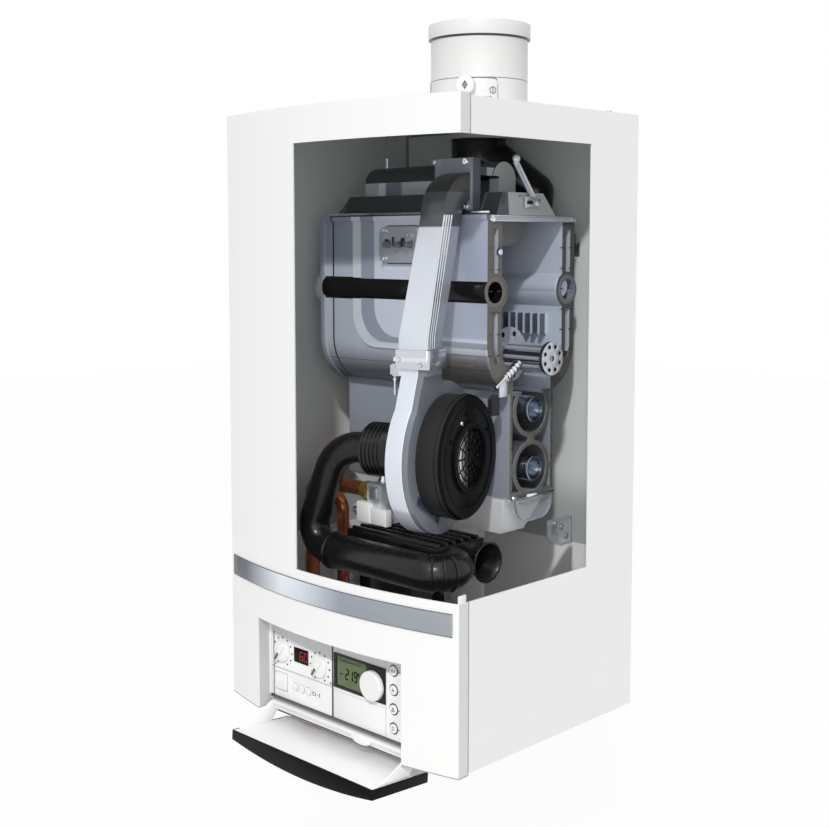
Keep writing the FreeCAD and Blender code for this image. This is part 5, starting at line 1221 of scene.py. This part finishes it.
flangeScrews = {"size": (0.0042, 0.0042), "facing": toFront,
                "spots": [(59.5, 128, 749), (113.5, 128, 748), (102, 128, 690.6), (114, 128, 690.2)]}
screwSet("ductFlangeScrews", flangeScrews)
sectionScrews = {"size": (0.0040, 0.0036), "facing": toRight,
                 "spots": [(157, 141.2, 632.3), (157, 292.2, 674.6), (157, 127.0, 674.0)]}
screwSet("sectionScrews", sectionScrews)
coverScrews = {"size": (0.0026, 0.0030), "facing": toFront,
               "spots": [(-27, 113.9, 661), (-27, 113.9, 622), (35, 113.9, 622), (22, 113.9, 653.5),
                         (33.5, 113.9, 654.6)]}
screwSet("coverScrews", coverScrews)

# dark blocks that paint the shade in the inspection cover's openings: middle x, z and half sizes
slotValues = {"front": 113.65, "rear": 114.9, "round": 0.0006, "segments": 3,
              "slots": [(-21.4, 645.5, 2.2, 3.6), (-16.6, 645.0, 0.9, 3.2), (-7.6, 645.6, 1.8, 6.4),
                        (10.8, 644.6, 3.4, 6.0), (24.0, 640.0, 1.0, 2.4)]}


def coverSlots(v):
    slots = []
    for x, z, halfX, halfZ in v["slots"]:
        low, high = at(x - halfX, v["front"], z - halfZ), at(x + halfX, v["rear"], z + halfZ)
        slots.append(shapedBlock("coverSlot", low, high, (), min(halfX, halfZ) * v["round"], v["segments"]))
    dress(joined("coverSlots", slots), markAndHoleShade)


coverSlots(slotValues)

# short dark marks across the cut walls of drum and neck, at even steps
tickValues = {
    "left": 156.4, "right": 157.12, "half": 0.55, "face": (0.0001, (0.00004, 0, 0)),
    "walls": [{"low": 500.0, "high": 664.0, "step": 27.5,
               "depths": [(122.6, 129.6), (138.8, 146.2), (267.6, 274.6), (287.0, 295.4)]},
              {"low": 318.0, "high": 442.0, "step": 19.5, "depths": [(166.2, 171.2), (249.8, 254.6)]}],
}


def tickMarks(v):
    bars = []
    for wall in v["walls"]:
        z = wall["low"]
        while z < wall["high"]:
            for front, rear in wall["depths"]:
                low, high = at(v["left"], front, z - v["half"]), at(v["right"], rear, z + v["half"])
                bars.append(shapedBlock("tick", low, high, [(toRight, *v["face"])], None))
            z += wall["step"]
    dress(joined("sectionTicks", bars), markAndHoleShade)


tickMarks(tickValues)

# hood: small post with a foot
postValues = {"place": (-104.7, 198.0, 749.0), "radius": 0.0026, "sides": 20,
              "shares": [(1.5, 0.0), (1.5, 0.003), (1, 0.0036), (1, 0.0095), (1.35, 0.0102), (1.35, 0.0148),
                         (0.9, 0.016)]}
postFoot = {"low": (-106.0, 194.0, 748.6), "high": (-77.0, 202.0, 751.0), "soft": 0.0008}
post = rounded(placedTurn("hoodPost", postValues, toTop), 0)
dress(joined("hoodPost", [post, placedBlock("hoodFoot", postFoot)]), coverFinish)

# the sprung clip on the hood's right end: lever, ball and hook, with dark pieces beside them that paint the
# shade in holes
clipValues = {
    "face": 154.2, "leverTop": (174.3, 749.0), "leverEnd": (216.0, 697.0), "leverHalf": 0.00425,
    "leverFront": 0.0030, "leverSunk": 0.0002, "leverRim": 0.35, "leverDish": (-0.0014, 0, 0),
    "leverTip": (0, (0.0026, 0, 0.004), (1, 0.7, 1)), "leverSoft": 0.0005,
    "ball": (153.7, 175.8, 751.5), "ballSides": 24,
    "ballSteps": [(0.0046, 0.0), (0.0056, 0.0020), (0.0052, 0.0046), (0.0030, 0.0062)],
    "holes": [(154.0, 186.0, 704.5), (154.0, 199.5, 705.0), (154.0, 226.0, 700.0)], "holeSides": 14,
    "holeSteps": [(0.0013, 0.0), (0.0013, 0.00035), (0.0010, 0.0004)],
}
clipHook = {"low": (154.0, 193.5, 691.0), "high": (157.6, 219.0, 704.0), "soft": 0.0004,
            "pushes": [(toRight, 0.0032, (-0.0030, 0, 0)), (toFloor, 0, (0.0016, 0, -0.002))]}
clipPocket = {"low": (154.3, 198.0, 694.5), "high": (155.1, 213.0, 701.0), "soft": 0.0003}


def hoodClip(v):
    top, end = v["leverTop"], v["leverEnd"]
    depth, drop = end[0] - top[0], end[1] - top[1]
    half, length = v["leverHalf"], math.hypot(depth, drop) * milli
    pushes = [(toRight, half * v["leverRim"], v["leverDish"]), (toTop, *v["leverTip"])]
    lever = shapedBlock("clipLever", (-v["leverSunk"], -half, 0.0), (v["leverFront"], half, length), pushes,
                        v["leverSoft"])
    lever.rotation_euler = (-math.atan2(depth, drop), 0, 0)
    lever.location = at(v["face"], *top)
    settle(lever)
    ball = turned("clipBall", at(*v["ball"]), toRight, v["ballSteps"], v["ballSides"])
    hook = placedBlock("clipHook", clipHook)
    dress(joined("hoodClip", [lever, rounded(ball, 0), hook]), coverFinish)
    holes = [placedBlock("clipPocket", clipPocket)]
    holes += [turned("endHole", at(*spot), toRight, v["holeSteps"], v["holeSides"]) for spot in v["holes"]]
    dress(joined("hoodEndHoles", holes), markAndHoleShade)


hoodClip(clipValues)

# spark plug at the lower front corner of the cut face: ringed body, rod, toothed cap and plate
plugValues = {
    "tip": (161.0, 177.3, 487.8), "end": (161.0, 149.0, 470.0), "radius": 0.0064, "sides": 24,
    "ringCount": 5, "rings": [(1, 0.12), (1, 0.52), (0.66, 0.62), (0.66, 0.96)], "ends": (0.5, 0.4),
    "rodEnd": (161.0, 132.0, 459.0), "rod": 0.0016, "rodHead": 0.0024, "rodSunk": 0.001,
    "rodShares": (0.8, 0.84), "rodSides": 16,
    "toothLow": 426.0, "toothHigh": 445.0, "toothStep": 4.2, "toothTall": 1.8,
    "toothX": (158.0, 164.0), "toothDepth": (119.3, 122.5), "toothFace": (0.0004, (0, -0.0004, 0)),
}
plugCap = {"low": (157.2, 121.5, 424.0), "high": (165.0, 136.0, 447.0), "soft": 0.0008,
           "pushes": [(toTop, 0.0014, (0, 0.002, 0.004), (0.7, 0.7, 1))]}
plugPlate = {"low": (158.4, 141.0, 446.0), "high": (159.8, 157.0, 463.0), "soft": 0.0003,
             "pushes": [(toTop, 0, (0, 0.004, 0.004), (1, 0.5, 1))]}


def sparkPlug(v):
    start, stop = at(*v["tip"]), at(*v["end"])
    along, r = stop - start, v["radius"]
    step = along.length / v["ringCount"]
    steps = [(r * v["ends"][0], 0.0)]
    for ring in range(v["ringCount"]):
        steps += [(r * wide, ring * step + step * share) for wide, share in v["rings"]]
    steps.append((r * v["ends"][1], along.length))
    coil = rounded(turned("sparkPlug", start, along, steps, v["sides"]), 0)
    along = at(*v["rodEnd"]) - stop
    neck, head = [along.length * share for share in v["rodShares"]]
    steps = [(v["rod"], -v["rodSunk"]), (v["rod"], neck), (v["rodHead"], head),
             (v["rodHead"], along.length)]
    rod = turned("sparkRod", stop, along, steps, v["rodSides"])
    dress(joined("sparkPlug", [coil, rounded(rod, 0)]), chromeFinish)
    teeth, z = [placedBlock("plugCap", plugCap)], v["toothLow"]
    (left, right), (front, rear) = v["toothX"], v["toothDepth"]
    while z < v["toothHigh"]:
        teeth.append(shapedBlock("capTooth", at(left, front, z), at(right, rear, z + v["toothTall"]),
                                 [(toFront, *v["toothFace"])], None))
        z += v["toothStep"]
    dress(joined("plugCap", teeth), rubberFinish)
    dress(placedBlock("plugPlate", plugPlate), coverFinish)


sparkPlug(plugValues)
print("exchanger details made")

# under the neck: bright lip, clear bowl and clear bracket
neckLip = {"place": (158.0, 168.0, 310.0), "radius": 0.0034, "sides": 20,
           "shares": [(0.7, 0.0), (1, 0.001), (1, 0.02595), (0.86, 0.026815), (0.86, 0.02941),
                      (1, 0.030275), (1, 0.0855), (0.7, 0.0865)]}
dress(rounded(placedTurn("neckLip", neckLip, (0, 1, 0)), 0), chromeFinish)
clearValues = {"color": (226, 231, 236), "rough": 0.06, "scale": 240.0, "spread": 0.04, "glass": 0.82,
               "ior": 1.42, "bump": 0.05, "bumpDepth": 0.0008}
clearPlastic = makeFinish("clearPlastic", clearValues)
bowlValues = {"low": (157.4, 174.0, 298.0), "high": (162.4, 248.0, 306.0), "soft": 0.0007,
              "pushes": [(toFloor, 0, (0, 0, -0.009), (1, 0.94, 1)),
                         (toFloor, 0, (0, 0, -0.008), (1, 0.78, 1)),
                         (toFloor, 0, (0, 0, -0.005), (1, 0.6, 1)),
                         (toRight, 0.0024, (-0.003, 0, 0))]}
dress(placedBlock("clearBowl", bowlValues), clearPlastic)
bracketValues = {"low": (155.0, 246.0, 245.0), "high": (162.0, 293.0, 269.0), "soft": 0.0007,
                 "pushes": [(toFloor, 0, (0, 0.012, -0.014), (1, 0.55, 1)),
                            (toRight, 0.003, (-0.0026, 0, 0))]}
dress(placedBlock("clearBracket", bracketValues), clearPlastic)
bracketScrews = {"size": (0.0038, 0.0030), "facing": toRight,
                 "spots": [(161.0, 268.0, 258.0), (161.0, 279.0, 244.0), (161.4, 254.0, 264.0)]}
screwSet("bracketScrews", bracketScrews)
print("neck foot made")


# fan, mixing duct and air side
def fanAt(along, side, height):
    # millimetres along the fan's shaft, across it and up
    return fanPlace + (fanAlong * along + fanSide * side + Vector((0, 0, height))) * milli


def laidDown(block, origin, xAxis, yAxis):
    xAxis, yAxis = Vector(xAxis).normalized(), Vector(yAxis).normalized()
    turn = Matrix((xAxis, yAxis, xAxis.cross(yAxis))).transposed()
    block.rotation_euler = turn.to_euler()
    block.location = origin
    return settle(block)


def laidBlock(name, origin, xAxis, yAxis, low, high):
    # a block drawn in its own axes and then laid into place
    return laidDown(startBlock(name, low, high), origin, xAxis, yAxis)


ribValues = {"shares": (0.03, 0.16, 0.29, 0.43), "along": -29.4, "left": -57.0, "wide": 40.0, "low": 139.0,
             "knee": 152.4, "top": (120.6, 78.0, 112.0, 679.0), "bends": (0.6, 0.1, 0.5), "radius": 0.0012,
             "sides": 8, "order": 3}


def ductRibs(v):
    # raised ribs up the front of the duct, bent at its knee
    ribs = []
    x, front, rear, z = v["top"]
    for share in v["shares"]:
        side = v["left"] + v["wide"] * share
        foot, knee = fanAt(v["along"], side, v["low"]), fanAt(v["along"], side, v["knee"])
        top = at(x, front + (rear - front) * share, z)
        below, above, middle = v["bends"]
        points = [foot, foot.lerp(knee, below), knee, knee.lerp(top, above), knee.lerp(top, middle), top]
        ribs.append(wire("ductRib", points, v["radius"], v["sides"], v["order"]))
    dress(rounded(joined("ductRibs", ribs), 0), chromeFinish)


ductRibs(ribValues)

fittingValues = {
    "bolts": [(-66.0, -61.6, 126.0), (-36.0, -61.6, 120.0)], "boltSize": (0.0030, 0.0026),
    "band": (-50.0, -61.4, 126.0), "bandLow": (-0.0245, -0.0010, -0.0028),
    "bandHigh": (0.0245, 0.0006, 0.0028), "bandRim": 0.0008, "bandRise": 0.0006, "bandSoft": 0.0003,
    "lugLow": (-0.080, -0.056, 0.104), "lugHigh": (-0.070, -0.046, 0.120), "lugRim": 0.0016,
    "lugRise": 0.004, "lugSoft": 0.0008, "rod": (-78.0, -52.0, 80.0), "rodSides": 16,
    "rodSteps": [(0.0018, 0.0), (0.0018, 0.018), (0.0030, 0.0184), (0.0030, 0.0215), (0.0018, 0.022),
                 (0.0018, 0.025)],
}


def clampFittings(v):
    # bolts, band and lug of the clamp between duct and fan
    spots = [fanAt(*spot) for spot in v["bolts"]]
    dress(spread("clampBolts", screwMaster(*v["boltSize"]), spots, -fanSide), steelFinish)
    band = laidBlock("clampBand", fanAt(*v["band"]), fanAlong, fanSide, v["bandLow"], v["bandHigh"])
    pushFaces(band, facing(-fanSide), v["bandRim"], -fanSide * v["bandRise"])
    dress(rounded(band, v["bandSoft"]), chromeFinish)
    lug = laidBlock("clampLug", fanPlace, fanAlong, fanSide, v["lugLow"], v["lugHigh"])
    pushFaces(lug, facing(-fanAlong), v["lugRim"], -fanAlong * v["lugRise"])
    rounded(lug, v["lugSoft"])
    rod = turned("clampRod", fanAt(*v["rod"]), toTop, v["rodSteps"], v["rodSides"])
    dress(joined("clampLug", [lug, rounded(rod, 0)]), steelFinish)


clampFittings(fittingValues)

tailValues = {"start": (-37.0, -78.0, -54.0), "end": (-37.0, 3.0, -99.0), "wide": 0.016, "thick": 0.003,
              "straight": 0.72, "point": 0.28, "tip": (0.25, 0.25, 0.25), "soft": 0.0004}
# the tail takes the scroll face's dark tone: a painted shade
tailFinish = makeFinish("tailAluminium", {"color": (104, 113, 130), "rough": 0.3, "metallic": 0.6,
                                          "scale": 60.0, "spread": 0.08, "bump": 0.03})


def scrollTail(v):
    # straight lower flange of the scroll, drawn out to a point
    start, end = fanAt(*v["start"]), fanAt(*v["end"])
    along = end - start
    inward = fanAlong.cross(along).normalized()
    tail = laidBlock("scrollTail", start, along, inward, (0, 0, 0),
                     (along.length * v["straight"], v["wide"], v["thick"]))
    pushFaces(tail, facing(along), 0, along * v["point"])
    pickFaces(tail, facing(along))
    bpy.ops.transform.resize(value=v["tip"], center_override=end)
    bpy.ops.object.mode_set(mode="OBJECT")
    dress(rounded(tail, v["soft"]), tailFinish)


scrollTail(tailValues)

motorDots = {"rivets": [(0, -22.5, 45.5)], "rivetSize": (0.0032, 0.0024, 0.3),
             "screws": [(0, -8.0, 57.0), (0, -3.7, -60.8), (0, 52.0, 30.0), (0, -50.0, 26.0)],
             "screwSize": (0.0030, 0.0016, 0.6),
             # raised rims on the face and along the barrel: place along the shaft, radius and rise
             "rims": [(-0.4, 0.0472, 0.0020), (-0.4, 0.065, 0.0011), (-9.4, 0.079, 0.0016)],
             "rimThick": 0.0024, "rimSides": 72, "rimSoft": 0.0003}


def motorDetails(v):
    spots = [fanAt(*spot) for spot in v["rivets"]]
    dress(spread("motorRivets", screwMaster(*v["rivetSize"]), spots, fanAlong), chromeFinish)
    spots = [fanAt(*spot) for spot in v["screws"]]
    dress(spread("motorScrews", screwMaster(*v["screwSize"]), spots, fanAlong), motorBlack)
    rims = []
    for along, radius, rise in v["rims"]:
        rim = hoop("motorRim", fanAt(along, 0, 0), fanAlong, radius, v["rimThick"], rise, v["rimSides"])
        rims.append(rounded(rim, v["rimSoft"]))
    dress(joined("motorRims", rims), motorBlack)


motorDetails(motorDots)

paneValues = {"place": fanMiddle, "radius": 0.0376, "sides": 48, "edge": -5.0,
              "shares": [(1, 0.0), (1, 0.0004), (0.96, 0.0007)]}
# pale where light comes through the grille and darker in two steps towards the right: painted light and
# painted shade
paneFinish = makeFinish("grillePane", {
    "color": (218, 224, 231), "rough": 0.4, "scale": 90.0, "spread": 0.3, "bump": 0.05, "specular": 0.2,
    "layers": [tone((120, 125, 132), ("along", -0.0225, 0.05, 0.003, fanPlace, fanSide)),
               tone((58, 60, 63), ("along", -0.0140, 0.05, 0.003, fanPlace, fanSide))]})


def cutAway(piece, place, direction):
    # take off what lies past a plane and close the cut
    soloSelect(piece)
    bpy.ops.object.mode_set(mode="EDIT")
    bpy.ops.mesh.select_all(action="SELECT")
    bpy.ops.mesh.bisect(plane_co=place, plane_no=direction, clear_outer=True, use_fill=True)
    bpy.ops.object.mode_set(mode="OBJECT")
    return outward(piece)


def grillePane(v):
    # pale plate behind the left part of the grille, standing for the light seen through it
    pane = placedTurn("grillePane", v, fanAlong)
    cutAway(pane, fanAt(0, v["edge"], 0), fanSide)
    dress(rounded(pane, 0), paneFinish)


grillePane(paneValues)

collarValues = {"place": (-37.0, 30.0, 233.0), "radius": 0.0252, "sides": 48,
                "shares": [(0.78, -0.0035), (0.86, -0.0035), (0.86, -0.0005), (0.97, 0.0), (1, 0.0008),
                           (1, 0.0040), (0.95, 0.0052), (0.80, 0.0052)]}
silencerParts = {
    "bendMiddle": (128.0, 56.0, 233.0), "bend": 0.026, "ribAngles": (38.0, 58.0, 78.0),
    "ribReach": 0.024174, "ribStart": -66, "ribStep": 11, "ribPoints": 13, "rib": 0.0017,
    "mouth": (154.4, 124.0, 233.0), "mouthRadius": 0.02561, "lip": 0.0030, "lipSoft": 0.0009,
    "lipSegments": 3,
}


def silencerDetails(v):
    # collar at the pipe, ribs round the bend and a thick lip on the trumpet mouth
    pieces = [rounded(placedTurn("silencerCollar", collarValues, toRight), 0)]
    for degrees in v["ribAngles"]:
        angle = math.radians(degrees)
        away = Vector((math.sin(angle), -math.cos(angle), 0))
        middle = at(*v["bendMiddle"]) + away * v["bend"]
        points = []
        for step in range(v["ribPoints"]):
            around = math.radians(v["ribStart"] + v["ribStep"] * step)
            turn = away * math.cos(around) + Vector((0, 0, math.sin(around)))
            points.append(middle + turn * v["ribReach"])
        pieces.append(rounded(wire("bendRib", points, v["rib"]), 0))
    lip = hoop("trumpetLip", at(*v["mouth"]), toRight, v["mouthRadius"], v["lip"], v["lip"])
    pieces.append(rounded(lip, v["lipSoft"], v["lipSegments"]))
    dress(joined("silencerDetails", pieces), intakeBlack)


silencerDetails(silencerParts)

# gas valve: two white covers, a cap and a plug, and the pale fitting above
valveCovers = {"soft": 0.0008, "pushes": [(toFront, 0.0016, (0, -0.0016, 0))],
               "corners": [((-47.0, 82.0, 262.0), (-19.5, 93.0, 291.0)),
                           ((-18.5, 82.0, 262.0), (10.5, 93.0, 285.0))]}
dress(alikeBlocks("valveCovers", valveCovers), keyWhite)
valveParts = {
    "cap": (-16.0, 104.0, 316.8), "capSides": 24,
    "capSteps": [(0.0075, 0.0), (0.0075, 0.006), (0.0060, 0.0068), (0.0060, 0.012), (0.0048, 0.013),
                 (0.0026, 0.013), (0.0024, 0.011)],
    "plug": (-55.0, 92.2, 277.0), "plugSides": 6, "plugSoft": 0.0002,
    "plugSteps": [(0.0060, 0.0), (0.0060, 0.003), (0.0045, 0.0036), (0.0045, 0.007), (0.0030, 0.0075),
                  (0.0026, 0.004)],
}
valveFitting = {"low": (-24.5, 84.0, 296.5), "high": (-8.0, 90.0, 313.5), "soft": 0.0012,
                "pushes": [(toFront, 0.0012, (0, -0.0012, 0))]}


def valveDetails(v):
    cap = turned("valveCap", at(*v["cap"]), toTop, v["capSteps"], v["capSides"])
    plug = turned("valvePlug", at(*v["plug"]), toFront, v["plugSteps"], v["plugSides"])
    dress(joined("valvePlugs", [rounded(cap, 0), rounded(plug, v["plugSoft"])]), chromeFinish)
    dress(placedBlock("valveFitting", valveFitting), coverFinish)


valveDetails(valveParts)
print("air and gas details made")

# flue: outline and screw of the test plate, marked cap, ribbed second cap; (degrees, z) round the flue,
# ring and rib by radius, thickness, rise and sides, the line by radius, sides and order
flueParts = {
    "depth": 278.5, "lineReach": 69.0, "line": (0.00055, 8, 3),
    "outline": [(63.4, 826), (63.4, 846), (63.4, 861), (61.5, 868.6), (56.0, 868.6), (40.0, 868.6),
                (26.0, 868.6), (20.5, 868.6), (18.2, 861), (18.2, 850), (18.2, 826)],
    "screw": (57.2, 852.0), "ringReach": 69.8, "ring": (0.0043, 0.0011, 0.0008, 32), "ringSoft": 0.0002,
    "slitReach": 70.5, "slitLow": (-0.0005, -0.0030, -0.0003), "slitHigh": (0.0005, 0.0030, 0.0003),
    "slitTip": (0, (0, 0, 0.0006), (0.5, 0.5, 1)),
    "cap": (28.0, 858.0), "capReach": 82.2, "markLow": (-0.0037, -0.0037, -0.0008),
    "markHigh": (0.0037, 0.0037, 0.0003), "markScale": (0.80, 1.20, 1.0),
    "markDish": (0.0008, (0, 0, -0.0001)),
    "secondCap": (-48.0, 858.0), "ribReach": (71.5, 75.5, 79.5), "rib": (0.0122, 0.0022, 0.0016, 40),
    "ribSoft": 0.0005,
}
outlineGrey = makeFinish("outlineGrey", dict(inkBase, color=(112, 115, 118)))


def flueWay(degrees):
    return Vector((math.sin(math.radians(degrees)), -math.cos(math.radians(degrees)), 0))


def flueSpot(degrees, z, reach):
    return at(0, flueParts["depth"], z) + flueWay(degrees) * reach * milli


def testPlate(v):
    line = wire("testPlateLine", [flueSpot(*spot, v["lineReach"]) for spot in v["outline"]], *v["line"])
    rounded(line, 0)
    way, across = flueWay(v["screw"][0]), flueWay(v["screw"][0] + 90)
    ring = hoop("testPlateRing", flueSpot(*v["screw"], v["ringReach"]), way, *v["ring"])
    rounded(ring, v["ringSoft"])
    slit = laidBlock("testPlateSlit", flueSpot(*v["screw"], v["slitReach"]), across, toTop, v["slitLow"],
                     v["slitHigh"])
    pushFaces(slit, facing(toTop), *v["slitTip"])
    dress(joined("testPlateMarks", [line, ring, slit]), outlineGrey)


def flueCaps(v):
    # dark key recess on the cap: a block turned on its corner
    mark = startBlock("capMark", v["markLow"], v["markHigh"])
    mark.rotation_euler = (0, 0, math.pi / 4)
    settle(mark)
    mark.scale = v["markScale"]
    settle(mark)
    pushFaces(mark, facing(toTop), *v["markDish"])
    laidDown(mark, flueSpot(*v["cap"], v["capReach"]), flueWay(v["cap"][0] + 90), toTop)
    dress(outward(mark), rubberFinish)
    ribs = []
    for reach in v["ribReach"]:
        rib = hoop("capRib", flueSpot(*v["secondCap"], reach), flueWay(v["secondCap"][0]), *v["rib"])
        ribs.append(rounded(rib, v["ribSoft"]))
    dress(joined("secondCapRibs", ribs), keyWhite)


testPlate(flueParts)
flueCaps(flueParts)

# folded corner strips that close the seams of the rear panel: left, right and top
cornerValues = {"soft": 0.0006, "pushes": [(toFront, 0.0004, (0, -0.0006, 0))],
                "corners": [((-217.0, 350.0, 214.0), (-214.0, 353.0, 812.0)),
                            ((214.0, 350.0, 214.0), (217.0, 353.0, 812.0)),
                            ((-217.0, 350.0, 809.0), (217.0, 353.0, 812.0))]}
cornerGrey = makeFinish("cornerGrey", {"color": (150, 156, 154), "rough": 0.55, "scale": 650.0,
                                       "spread": 0.02, "bump": 0.05})
dress(alikeBlocks("rearCorners", cornerValues), cornerGrey)

# top rail of the section and the bulge over the rear header
railValues = {"low": (156.8, 124.0, 671.5), "high": (160.4, 297.0, 679.0), "soft": 0.0005,
              "pushes": [(toRight, 0.0014, (-0.0008, 0, 0))]}
dress(placedBlock("sectionRail", railValues), coverFinish)
bulgeValues = {"place": (20.0, 271.5, 585.0), "radius": 0.0135, "sides": 40,
               "shares": [(0.5, 0.0), (0.85, 0.003), (1, 0.008), (1, 0.068), (1, 0.1356), (0.96, 0.136)]}
bulge = rounded(placedTurn("headerBulge", bulgeValues, toRight), 0)
dress(bulge, makeFinish("insideAluminium", drumValues))

# thumb tab on the ledge: a low stepped cone, stretched sideways and cut level
tabValues = {"place": (47.0, 4.4, 6.0), "way": (0, -1, 0.35), "radius": 0.012, "sides": 40,
             "shares": [(1, 0.0), (0.92, 0.0026), (0.6, 0.0046), (0.2, 0.0052)],
             "stretch": (1.9, 1, 1), "middle": (47.0, -0.6, 4.0), "cut": (47.0, 0, 10.5), "soft": 0.0003}


def thumbTab(v):
    tab = placedTurn("thumbTab", v, v["way"])
    soloSelect(tab)
    bpy.ops.object.mode_set(mode="EDIT")
    bpy.ops.mesh.select_all(action="SELECT")
    bpy.ops.transform.resize(value=v["stretch"], center_override=at(*v["middle"]))
    cutAway(tab, at(*v["cut"]), toTop)
    dress(rounded(tab, v["soft"]), keyWhite)


thumbTab(tabValues)

# sill tab, ledge lip and its shadow strip, a bead down the recess corner,
# and the foam seal behind the left joint of the cover
sillValues = {"low": (216.8, 1.0, 212.0), "high": (219.4, 13.5, 224.0), "soft": 0.0004,
              "pushes": [(toTop, 0, (0, 0, 0.0012), (0.7, 0.9, 1))]}
dress(placedBlock("sillTab", sillValues), keyWhite)
ledgeLip = {"low": (-132.4, 5.5, -5.0), "high": (132.4, 10.5, 6.0), "soft": 0.0016, "segments": 3,
            "pushes": [(toFront, 0, (0, -0.0012, 0.0022), (1, 1, 0.6))]}
dress(placedBlock("ledgeLip", ledgeLip), keyWhite)
underValues = {"low": (-132.4, 9.0, -9.0), "high": (132.4, 11.0, -4.6), "soft": 0.0004,
               "pushes": [(toFloor, 0, (0, 0.001, -0.0006), (0.99, 0.6, 1))]}
underShade = makeFinish("underShade", dict(shadeBase, color=(104, 106, 108)))
dress(placedBlock("ledgeUnder", underValues), underShade)
beadValues = {"low": (-140.4, 1.6, 16.5), "high": (-137.9, 5.6, 128.0), "soft": 0.0004,
              "pushes": [(toRight, 0, (0.0003, 0.0010, 0), (1, 0.5, 1))]}
dress(placedBlock("recessBead", beadValues), panelWhite)
sealValues = {"low": (-217.9, 11.0, 5.0), "high": (-215.2, 24.0, 811.0), "soft": 0.0005,
              "pushes": [(toRight, 0.001, (0.0008, 0, 0))]}
dress(placedBlock("coverSeal", sealValues), rubberFinish)

# hinge-side apron of the tray, drawn in the closed flap's axes from the pivot and laid open with it
apronValues = {"pivot": (0, 41.8, 22.2), "open": 86.0, "low": (-0.1345, -0.0498, -0.0072),
               "high": (0.1345, -0.0471, 0.0088), "edge": 0.0016, "edgeScale": (0.995, 0.6, 0.6),
               "soft": 0.0004}


def trayApron(v):
    angle = math.radians(v["open"])
    inward = (0, math.cos(angle), math.sin(angle))
    upright = Vector((0, -math.sin(angle), math.cos(angle)))
    apron = laidBlock("trayApron", at(*v["pivot"]), toRight, inward, v["low"], v["high"])
    pushFaces(apron, facing(-upright), 0, -upright * v["edge"], v["edgeScale"])
    dress(rounded(apron, v["soft"]), flapWhite, "flap")


trayApron(apronValues)
print("case details made")
